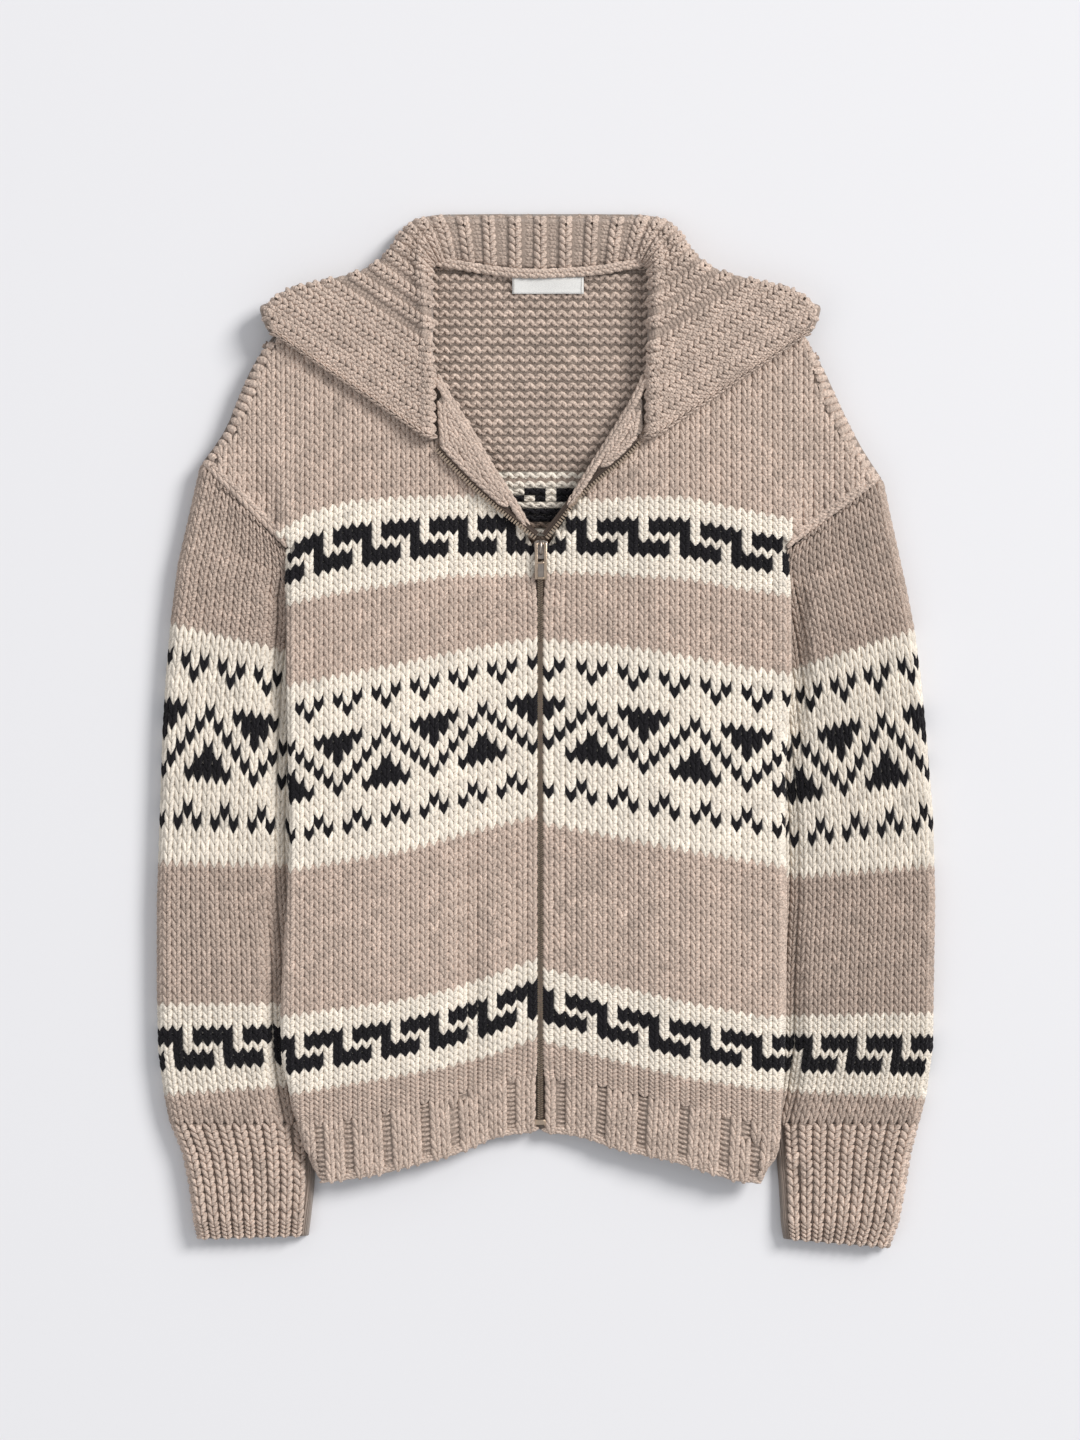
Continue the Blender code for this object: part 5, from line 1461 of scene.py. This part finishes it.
def solid_object(name, parts, material, bevel=0.0, body="garment"):
    """One object from several blocks of points and faces, in millimetres."""
    points, faces = [], []
    for p, f in parts:
        faces += [tuple(i + len(points) for i in face) for face in f]
        points += list(p)
    mesh = bpy.data.meshes.new(name)
    mesh.from_pydata([tuple(float(c) * MM for c in p) for p in points], [], faces)
    mesh.validate()
    work = bmesh.new()
    work.from_mesh(mesh)
    bmesh.ops.recalc_face_normals(work, faces=work.faces)
    work.to_mesh(mesh)
    work.free()
    mesh.shade_smooth()
    mesh.set_sharp_from_angle(angle=math.radians(40.0))
    mesh.materials.append(material)
    made = bpy.data.objects.new(name, mesh)
    bpy.context.scene.collection.objects.link(made)
    if bevel:
        change = made.modifiers.new("bevel", "BEVEL")
        change.width = bevel * MM
        change.segments = 2
        change.limit_method = "ANGLE"
    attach(made, body)
    return made


def brick(centre, size, turn=0.0):
    cx, cy, cz = centre
    hx, hy, hz = size[0] / 2.0, size[1] / 2.0, size[2] / 2.0
    c, s = math.cos(turn), math.sin(turn)
    corners = ((-hx, -hy), (hx, -hy), (hx, hy), (-hx, hy))
    return prism([(cx + c * x - s * y, cy + s * x + c * y) for x, y in corners], cz - hz, cz + hz)


def tube_along(path, radius, sides=10):
    """A round wire along a line."""
    path = np.asarray(path, float)
    way = np.gradient(path, axis=0)
    way /= np.linalg.norm(way, axis=1)[:, None]
    hint = np.array([0.0, 0.0, 1.0]) if abs(way[:, 2]).mean() < 0.7 else np.array([1.0, 0.0, 0.0])
    first = np.cross(way, hint)
    first /= np.linalg.norm(first, axis=1)[:, None]
    second = np.cross(way, first)
    radius = np.broadcast_to(radius, len(path))
    points, faces = [], []
    for k in range(len(path)):
        for a in np.linspace(0.0, 2 * np.pi, sides, endpoint=False):
            points.append(tuple(path[k] + radius[k] * (first[k] * math.cos(a) + second[k] * math.sin(a))))
    for k in range(len(path) - 1):
        for j in range(sides):
            a, b = k * sides + j, k * sides + (j + 1) % sides
            faces.append((a, b, b + sides, a + sides))
    faces.append(tuple(range(sides))[::-1])
    faces.append(tuple(range((len(path) - 1) * sides, len(path) * sides)))
    return points, faces


TOOTH_PITCH = 1.6
OPEN_TOOTH_PITCH = 2.1


def zip_parts():
    """The closed chain and tape, the two open rows with their tapes, and the bottom stop."""
    count = int((SLIDER_Y[0] - 0.6 - CHAIN_BOTTOM_Y) / TOOTH_PITCH)
    teeth = []
    for k in range(count):
        y = CHAIN_BOTTOM_Y + (k + 0.5) * TOOTH_PITCH
        for side in (-1, 1):
            shift = 0.25 * TOOTH_PITCH * side
            teeth.append(brick((ZIP_X + side, y + shift, 11.3), (1.9, TOOTH_PITCH * 0.36, 2.0), side * 0.5))
    chain_teeth = solid_object("zip_chain_teeth", teeth, MATERIALS["bright"])
    ys = np.linspace(CHAIN_BOTTOM_Y - 4.0, SLIDER_Y[0], 40)
    tapes = []
    for side in (-1, 1):
        x = ZIP_X + side * 6.1
        strip = [(x - 4.2, ys[0]), (x + 4.2, ys[0]), (x + 4.2, ys[-1]), (x - 4.2, ys[-1])]
        tapes.append(prism(strip, 8.2, 9.4))
        cord = np.column_stack([np.full(40, ZIP_X + side * 2.4), ys, np.full(40, 10.5)])
        tapes.append(tube_along(cord, 0.75, 6))
    tape = solid_object("zip_tape_weave", tapes, MATERIALS["tape"])
    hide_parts("zip_chain")
    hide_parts("zip_tape")
    for side, word in ((-1, "left"), (1, "right")):
        line = rounded(edge_points(V_TEETH, side), 6)
        length = np.linalg.norm(np.diff(line, axis=0), axis=1).sum()
        line = along(line, count=int(length / OPEN_TOOTH_PITCH))
        way = np.gradient(line, axis=0)
        way /= np.linalg.norm(way, axis=1)[:, None]
        out = np.stack([way[:, 1], -way[:, 0]], axis=1) * side
        base = body_top(line[:, 0], line[:, 1]) + 1.0
        rise = 2.2 * smooth_step(134.0, 160.0, line[:, 1])
        open_teeth = []
        for p, w, z in zip(line, way, base + rise * 0.3):
            turn = math.atan2(w[1], w[0]) + math.pi / 2
            open_teeth.append(brick((p[0], p[1], z + 1.7), (2.9, 1.15, 2.2), turn))
        made = solid_object("zip_open_teeth_" + word, open_teeth, MATERIALS["bright"])
        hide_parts("zip_teeth_" + word)
        inside = line - out * 2.2
        wire = tube_along(np.column_stack([inside, base + rise * 0.3 + 1.2]), 0.8, 6)
        middle = line - out * 3.0
        flat = []
        left, right = middle - out * 1.9, middle + out * 2.6
        z0 = base + rise * 0.3
        points = [(*q, z) for q, z in zip(left, z0 + 0.9)] + [(*q, z) for q, z in zip(right, z0 + 0.9)]
        points += [(*q, z) for q, z in zip(left, z0)] + [(*q, z) for q, z in zip(right, z0)]
        n = len(middle)
        for k in range(n - 1):
            flat += [(k, k + 1, n + k + 1, n + k), (2 * n + k, 3 * n + k, 3 * n + k + 1, 2 * n + k + 1),
                     (k, 2 * n + k, 2 * n + k + 1, k + 1), (n + k, n + k + 1, 3 * n + k + 1, 3 * n + k)]
        flat += [(0, n, 3 * n, 2 * n), (n - 1, 3 * n - 1, 4 * n - 1, 2 * n - 1)]
        band = solid_object("zip_open_tape_" + word, [(points, flat), wire], MATERIALS["tape"])
        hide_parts("zip_tape_" + word)
    y = CHAIN_BOTTOM_Y - 2.5
    stop = solid_object("zip_end_stop", [brick((ZIP_X, y, 10.9), (6.0, 3.6, 3.6)),
                                         brick((ZIP_X - 3.2, y - 0.4, 10.6), (1.0, 4.4, 3.8)),
                                         brick((ZIP_X + 3.2, y - 0.4, 10.6), (1.0, 4.4, 3.8))],
                        MATERIALS["bright"], 0.35)
    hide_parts("zip_stop")


def slider_parts():
    """The slider and the pull tab, which hangs on the slider's arch."""
    x, y0, z = SLIDER_X, SLIDER_Y[0], SLIDER_BASE_Z
    shape = [(-3.4, 0.0), (3.4, 0.0), (4.0, 3.0), (4.9, 9.0), (4.6, 12.2), (2.4, 13.5),
             (0.0, 12.9), (-2.4, 13.5), (-4.6, 12.2), (-4.9, 9.0), (-4.0, 3.0)]
    plate = prism([(x + a, y0 + b) for a, b in shape], z + 0.1, z + 1.5)
    low = prism([(x + a * 0.96, y0 + b) for a, b in shape], z - 3.6, z - 2.4)
    sides = [brick((x + s * 4.1, y0 + 5.4, z - 0.4), (0.8, 9.6, 1.4)) for s in (-1, 1)]
    angle = np.linspace(0.0, np.pi, 15)
    arch = np.column_stack([np.full(15, x), y0 + 8.2 - 4.6 * np.cos(angle),
                            z + 1.2 + 3.4 * np.sin(angle) ** 0.8])
    crown = tube_along(arch, 1.15, 10)
    made = solid_object("zip_slider_body", [plate, low, *sides, crown], MATERIALS["metal"], 0.35)
    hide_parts("zip_slider")
    tip_y = PULL_HINGE_Y + 1.0 - PULL_LENGTH
    low_z, high_z = PULL_HINGE_Z - 0.7, PULL_HINGE_Z + 0.7
    top_y = PULL_HINGE_Y + 0.7
    mid_y = PULL_HINGE_Y - 12.6

    def bar(ax, ay, bx, by, z0=low_z, z1=high_z):
        return brick(((ax + bx) / 2, (ay + by) / 2, (z0 + z1) / 2), (bx - ax, by - ay, z1 - z0))

    parts = [
        bar(x - 4.2, tip_y, x - 2.2, top_y), bar(x + 2.2, tip_y, x + 4.2, top_y),
        bar(x - 2.2, top_y - 1.6, x + 2.2, top_y), bar(x - 2.2, mid_y - 1.6, x + 2.2, mid_y),
        bar(x - 2.2, tip_y, x + 2.2, tip_y + 1.8),
        bar(x - 2.3, tip_y + 1.0, x + 2.3, mid_y - 0.8, low_z + 0.1, high_z - 0.55),
    ]
    pull = solid_object("zip_pull_tab", parts, MATERIALS["metal"], 0.35, body="pull")
    # The pull's upper faces take the lighter nickel: a painted highlight on the frame.
    pull.data.materials.append(MATERIALS["bright"])
    for face in pull.data.polygons:
        face.material_index = int(face.center.z > (high_z - 0.5) * MM)
    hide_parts("zip_pull")


def label_piece():
    width, height = LABEL_SIZE
    cx, cy = LABEL_CENTRE
    base = float(body_under(np.array(cx), np.array(cy - 6.0))) + CLOTH + 0.7
    xs = np.linspace(cx - width / 2, cx + width / 2, 25)
    ys = np.linspace(cy - height / 2, cy + height / 2, 9)
    gx, gy = np.meshgrid(xs, ys)
    z = base + 0.35 * np.sin((gx - cx) / 7.0) + 0.2 * np.sin(gy / 2.6) + 0.006 * (gy - cy) ** 2
    outer = np.stack([gx, gy, z + 0.5], axis=-1)
    inner = np.stack([gx, gy, z], axis=-1)
    faces = np.array(wall_faces(9, 25))
    made = mesh_object("neck_label", lattice(outer, inner), faces, MATERIALS["label"])
    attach(made, "garment")
    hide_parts("label")
    stitches = []
    for side in (-1, 1):
        for k in range(8):
            y = cy - height / 2 + 1.1 + k * (height - 2.2) / 7
            x = cx + side * (width / 2 - 1.2)
            stitches.append(brick((x, y, base + 0.95), (0.5, 0.95, 0.35)))
    sewn = solid_object("neck_label_thread", stitches, MATERIALS["thread"])
    return made


def new_material(name):
    made = bpy.data.materials.new(name)
    made.use_nodes = True
    tree = made.node_tree
    shader = tree.nodes["Principled BSDF"]
    return made, tree, shader


def node(tree, kind, **values):
    made = tree.nodes.new(kind)
    for key, value in values.items():
        setattr(made, key, value)
    return made


def calc(tree, operation, a, b=None):
    made = node(tree, "ShaderNodeMath", operation=operation)
    for socket, value in zip(made.inputs, (a, b)):
        if value is None:
            continue
        if isinstance(value, (int, float)):
            socket.default_value = value
        else:
            tree.links.new(value, socket)
    return made.outputs[0]


def noise(tree, scale, detail=2.0, roughness=0.5):
    coord = node(tree, "ShaderNodeTexCoord")
    made = node(tree, "ShaderNodeTexNoise")
    made.inputs["Scale"].default_value = scale
    made.inputs["Detail"].default_value = detail
    made.inputs["Roughness"].default_value = roughness
    tree.links.new(coord.outputs["Object"], made.inputs["Vector"])
    return made.outputs["Fac"]


def rgba(colour):
    return (*[float(v) for v in colour], 1.0)


def one_colour(tree, colour):
    made = node(tree, "ShaderNodeRGB")
    made.outputs[0].default_value = rgba(colour)
    return made.outputs[0]


def scaled(tree, colour, factor):
    made = node(tree, "ShaderNodeVectorMath", operation="SCALE")
    tree.links.new(colour, made.inputs[0])
    tree.links.new(factor, made.inputs["Scale"])
    return made.outputs[0]


def bumped(tree, shader, height, strength, distance):
    bump = node(tree, "ShaderNodeBump")
    bump.inputs["Strength"].default_value = strength
    bump.inputs["Distance"].default_value = distance
    tree.links.new(height, bump.inputs["Height"])
    tree.links.new(bump.outputs["Normal"], shader.inputs["Normal"])


def wool_finish(shader, sheen=0.35):
    shader.inputs["Roughness"].default_value = 0.92
    shader.inputs["Specular IOR Level"].default_value = 0.15
    shader.inputs["Sheen Weight"].default_value = sheen
    shader.inputs["Sheen Roughness"].default_value = 0.45


# How fast the yarn's twist turns across a strand and along it
TWIST_ACROSS, TWIST_ALONG = 5.0, 16.0


def yarn_material():
    made, tree, shader = new_material("wool_yarn")
    wool_finish(shader, 0.16)
    attribute = node(tree, "ShaderNodeAttribute", attribute_name="yarn")
    fleck = calc(tree, "SUBTRACT", noise(tree, 900.0, 3.0, 0.65), 0.5)
    patch_tone = calc(tree, "SUBTRACT", noise(tree, 95.0, 2.0, 0.5), 0.5)
    mix = calc(tree, "ADD", calc(tree, "MULTIPLY", fleck, 2.0), calc(tree, "MULTIPLY", patch_tone, 0.35))
    mix = calc(tree, "ADD", calc(tree, "MULTIPLY", mix, attribute.outputs["Alpha"]), 1.0)
    tree.links.new(scaled(tree, attribute.outputs["Color"], mix), shader.inputs["Base Color"])
    strand_at = node(tree, "ShaderNodeAttribute", attribute_name="strand")
    parts = node(tree, "ShaderNodeSeparateXYZ")
    tree.links.new(strand_at.outputs["Vector"], parts.inputs[0])
    across_it = calc(tree, "MULTIPLY", parts.outputs[0], TWIST_ACROSS)
    along_it = calc(tree, "MULTIPLY", parts.outputs[1], TWIST_ALONG)
    twist = calc(tree, "SINE", calc(tree, "ADD", across_it, along_it))
    fibre = calc(tree, "MULTIPLY", noise(tree, 1700.0, 3.0, 0.6), 1.6)
    bumped(tree, shader, calc(tree, "ADD", calc(tree, "MULTIPLY", twist, 0.55), fibre), 0.7, 0.0005)
    return made


# The bands' colour ramp: rows above the first band, rows in all
RAMP_BELOW, RAMP_ROWS = 40.0, 160.0


def plain_wool(name, banded):
    """Finish of the walls: knit shown by relief, in bands of beige and cream where banded, darkened as
    painted shade between the stitches.
    """
    made, tree, shader = new_material(name)
    wool_finish(shader)
    row = node(tree, "ShaderNodeAttribute", attribute_name="row").outputs["Fac"]
    col = node(tree, "ShaderNodeAttribute", attribute_name="col").outputs["Fac"]
    # The walls' colours are darkened: painted shade where the wall shows between the stitches.
    beige, cream = YARN[BEIGE] * 0.55, YARN[CREAM] * 0.66
    fleck = calc(tree, "ADD", calc(tree, "MULTIPLY", noise(tree, 800.0, 3.0, 0.6), 0.5), 0.75)
    if banded:
        ramp = node(tree, "ShaderNodeValToRGB")
        ramp.color_ramp.interpolation = "CONSTANT"
        for k, (at, yarn) in enumerate(banded):
            place = (at + RAMP_BELOW) / RAMP_ROWS
            element = ramp.color_ramp.elements[k] if k < 2 else ramp.color_ramp.elements.new(place)
            element.position = place
            tone = cream if yarn == CREAM else beige
            element.color = rgba(tone)
        spread = calc(tree, "DIVIDE", calc(tree, "ADD", row, RAMP_BELOW), RAMP_ROWS)
        tree.links.new(spread, ramp.inputs["Fac"])
        colour = ramp.outputs["Color"]
    else:
        colour = one_colour(tree, beige)
    tree.links.new(scaled(tree, colour, fleck), shader.inputs["Base Color"])
    bend = calc(tree, "ABSOLUTE", calc(tree, "SUBTRACT", calc(tree, "FRACT", col), 0.5))
    slanted = calc(tree, "ADD", row, calc(tree, "MULTIPLY", bend, 1.2))
    wave = calc(tree, "SINE", calc(tree, "MULTIPLY", slanted, 6.2832))
    valley = calc(tree, "COSINE", calc(tree, "MULTIPLY", bend, 12.566))
    height = calc(tree, "SUBTRACT", calc(tree, "MULTIPLY", wave, 0.4), calc(tree, "MULTIPLY", valley, 0.35))
    height = calc(tree, "ADD", height, calc(tree, "MULTIPLY", noise(tree, 1500.0), 0.5))
    bumped(tree, shader, height, 0.8, 0.0012)
    return made


def metal_material(name, colour, roughness):
    made, tree, shader = new_material(name)
    shader.inputs["Metallic"].default_value = 1.0
    worn = calc(tree, "ADD", calc(tree, "MULTIPLY", noise(tree, 600.0, 4.0, 0.6), 0.35), roughness - 0.15)
    tree.links.new(worn, shader.inputs["Roughness"])
    tone = calc(tree, "ADD", calc(tree, "MULTIPLY", noise(tree, 250.0, 3.0, 0.6), 0.5), 0.72)
    tree.links.new(scaled(tree, one_colour(tree, colour), tone), shader.inputs["Base Color"])
    bumped(tree, shader, noise(tree, 2500.0, 2.0, 0.5), 0.25, 0.0001)
    return made


def cloth_material(name, colour, weave, roughness=0.85):
    """A fine woven tape or label: warp and weft by two waves."""
    made, tree, shader = new_material(name)
    shader.inputs["Roughness"].default_value = roughness
    shader.inputs["Sheen Weight"].default_value = 0.15
    coord = node(tree, "ShaderNodeTexCoord")
    parts = node(tree, "ShaderNodeSeparateXYZ")
    tree.links.new(coord.outputs["Object"], parts.inputs[0])
    warp = calc(tree, "SINE", calc(tree, "MULTIPLY", parts.outputs[0], weave))
    weft = calc(tree, "SINE", calc(tree, "MULTIPLY", parts.outputs[1], weave))
    cross = calc(tree, "MULTIPLY", warp, weft)
    fleck = calc(tree, "ADD", calc(tree, "MULTIPLY", noise(tree, 900.0), 0.2), 0.88)
    tone = calc(tree, "ADD", calc(tree, "MULTIPLY", cross, 0.07), fleck)
    tree.links.new(scaled(tree, one_colour(tree, colour), tone), shader.inputs["Base Color"])
    bumped(tree, shader, cross, 0.5, 0.0002)
    return made


def wall_bands(lines):
    """Where the walls' plain bands start, cream and beige by turns from the first line on."""
    return [(-RAMP_BELOW, BEIGE)] + [(line[0], (CREAM, BEIGE)[k % 2]) for k, line in enumerate(lines)]


RANDOM = np.random.default_rng(7)
MATERIALS = {
    "yarn": yarn_material(),
    "banded": plain_wool("wool_wall_banded", wall_bands(BAND_LINES[:-1])),
    "sleeve_left": plain_wool("wool_wall_sleeve_left", wall_bands(SLEEVE_LINES[-1][1:-1])),
    "sleeve_right": plain_wool("wool_wall_sleeve_right", wall_bands(SLEEVE_LINES[1][1:-1])),
    "plain": plain_wool("wool_wall_beige", None),
    "metal": metal_material("antique_nickel", srgb(172, 162, 154), 0.34),
    # Lighter nickel of the teeth and stop, also the pull's painted highlight.
    "bright": metal_material("teeth_nickel_and_pull_highlight", srgb(214, 192, 170), 0.30),
    "tape": cloth_material("zip_tape_weave", srgb(74, 60, 51), 5200.0),
    "label": cloth_material("label_satin", srgb(240, 239, 236), 9000.0, 0.6),
    "thread": cloth_material("label_thread", srgb(225, 222, 216), 6000.0),
}


def stand_in(wall, stitches, nodes, flat, area, rests_on):
    """Hides the CAD nodes that a wall and its stitches stand for."""
    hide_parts(*nodes)


def build_cloth():
    back = back_shell()
    inside = knit_inside("back_inside_purl")
    stand_in(back, [inside], ["back"], *FLAT["back"], "floor")
    hem_back = hem_back_shell()
    stand_in(hem_back, [], ["hem_back"], *FLAT["hem_back"], "floor")
    for side, word in ((-1, "left"), (1, "right")):
        front = front_shell(side, "front_wall_" + word)
        stand_in(front, [knit_front(side, "front_stitches_" + word)], ["front_" + word],
                 *FLAT["front_" + word], "back_wall")
        hem = hem_front_shell(side, "hem_wall_" + word)
        stand_in(hem, [knit_hem(side, "hem_stitches_" + word)], ["hem_" + word],
                 *FLAT["hem_" + word], "hem_back_wall")
        facing = facing_wall(side, "facing_wall_" + word)
        stand_in(facing, [knit_facing(side, "facing_stitches_" + word)], ["facing_" + word],
                 *FLAT["facing_" + word], "front_wall_" + word)
        sleeve_table, cuff_table = (SLEEVE_LEFT, CUFF_LEFT) if side < 0 else (SLEEVE_RIGHT, CUFF_RIGHT)
        sleeve = tube_shell(sleeve_table, side, "sleeve_wall_" + word, 90, STITCH_RISE,
                            MATERIALS["sleeve_" + word], True)
        stand_in(sleeve, [knit_sleeve(side, "sleeve_stitches_" + word)], ["sleeve_" + word],
                 *FLAT["sleeve_" + word], "floor")
        cuff = tube_shell(cuff_table, side, "cuff_wall_" + word, 24, 2.3, MATERIALS["plain"], False)
        stand_in(cuff, [knit_cuff(side, "cuff_stitches_" + word)], ["cuff_" + word],
                 *FLAT["cuff_" + word], "floor")
    grid = fine_collar()
    normal = collar_normals(grid)
    collar = collar_shell(grid, normal)
    stand_in(collar, [knit_collar(grid, normal, "collar_stitches")], ["collar"], *FLAT["collar"], "back_wall")


# Flat size of each piece in metres, and the area of its cut in square metres
FLAT = {
    "back": ((0.48, 0.60), 0.218),
    "hem_back": ((0.34, 0.040), 0.0128),
    "front_left": ((0.245, 0.605), 0.0954),
    "front_right": ((0.240, 0.605), 0.0927),
    "hem_left": ((0.178, 0.038), 0.0063),
    "hem_right": ((0.176, 0.038), 0.0063),
    "facing_left": ((0.028, 0.092), 0.0018),
    "facing_right": ((0.022, 0.062), 0.0010),
    "sleeve_left": ((0.230, 0.455), 0.0931),
    "sleeve_right": ((0.235, 0.455), 0.0954),
    "cuff_left": ((0.195, 0.083), 0.0148),
    "cuff_right": ((0.195, 0.088), 0.0156),
    "collar": ((0.60, 0.300), 0.0741),
}


def build_stage():
    floor = bpy.data.meshes.new("floor")
    floor.from_pydata([(-6, -6, 0), (6, -6, 0), (6, 6, 0), (-6, 6, 0)], [], [(0, 1, 2, 3)])
    ground = bpy.data.objects.new("floor", floor)
    bpy.context.scene.collection.objects.link(ground)
    made, _, shader = new_material("studio_floor")
    shader.inputs["Base Color"].default_value = rgba(srgb(236, 236, 239))
    shader.inputs["Roughness"].default_value = 0.9
    shader.inputs["Specular IOR Level"].default_value = 0.1
    floor.materials.append(made)
    for name, place, size, power, colour in LAMPS:
        data = bpy.data.lights.new(name, "AREA")
        data.shape = "DISK"
        data.size = size
        data.energy = power
        data.color = colour
        lamp = bpy.data.objects.new(name, data)
        lamp.location = place
        lamp.rotation_mode = "QUATERNION"
        lamp.rotation_quaternion = (Vector((0, 0, 0)) - Vector(place)).to_track_quat("-Z", "Y")
        bpy.context.scene.collection.objects.link(lamp)
    world = bpy.data.worlds.new("studio")
    world.use_nodes = True
    background = world.node_tree.nodes["Background"]
    background.inputs["Color"].default_value = (0.97, 0.98, 1.0, 1.0)
    background.inputs["Strength"].default_value = WORLD_LIGHT
    bpy.context.scene.world = world
    camera = bpy.data.cameras.new("camera")
    camera.sensor_width = 36.0
    camera.lens = 36.0 * CAMERA_HEIGHT / FRAME_LONG_SIDE
    view = bpy.data.objects.new("camera", camera)
    view.location = (-0.0042, 0.007, CAMERA_HEIGHT + 0.012)
    bpy.context.scene.collection.objects.link(view)
    bpy.context.scene.camera = view
    bpy.context.scene.view_settings.view_transform = "Standard"


# Studio lamps: name, place, size, power, colour
LAMPS = (
    ("key", (7.4, 5.0, 6.6), 4.4, 1085.0, (1.0, 0.985, 0.965)),
    ("fill", (-1.8, -0.9, 2.2), 1.8, 6.0, (0.97, 0.98, 1.0)),
)
WORLD_LIGHT = 0.48
CAMERA_HEIGHT = 2.5
FRAME_LONG_SIDE = 1.008

build_cloth()
zip_parts()
slider_parts()
label_piece()
build_stage()
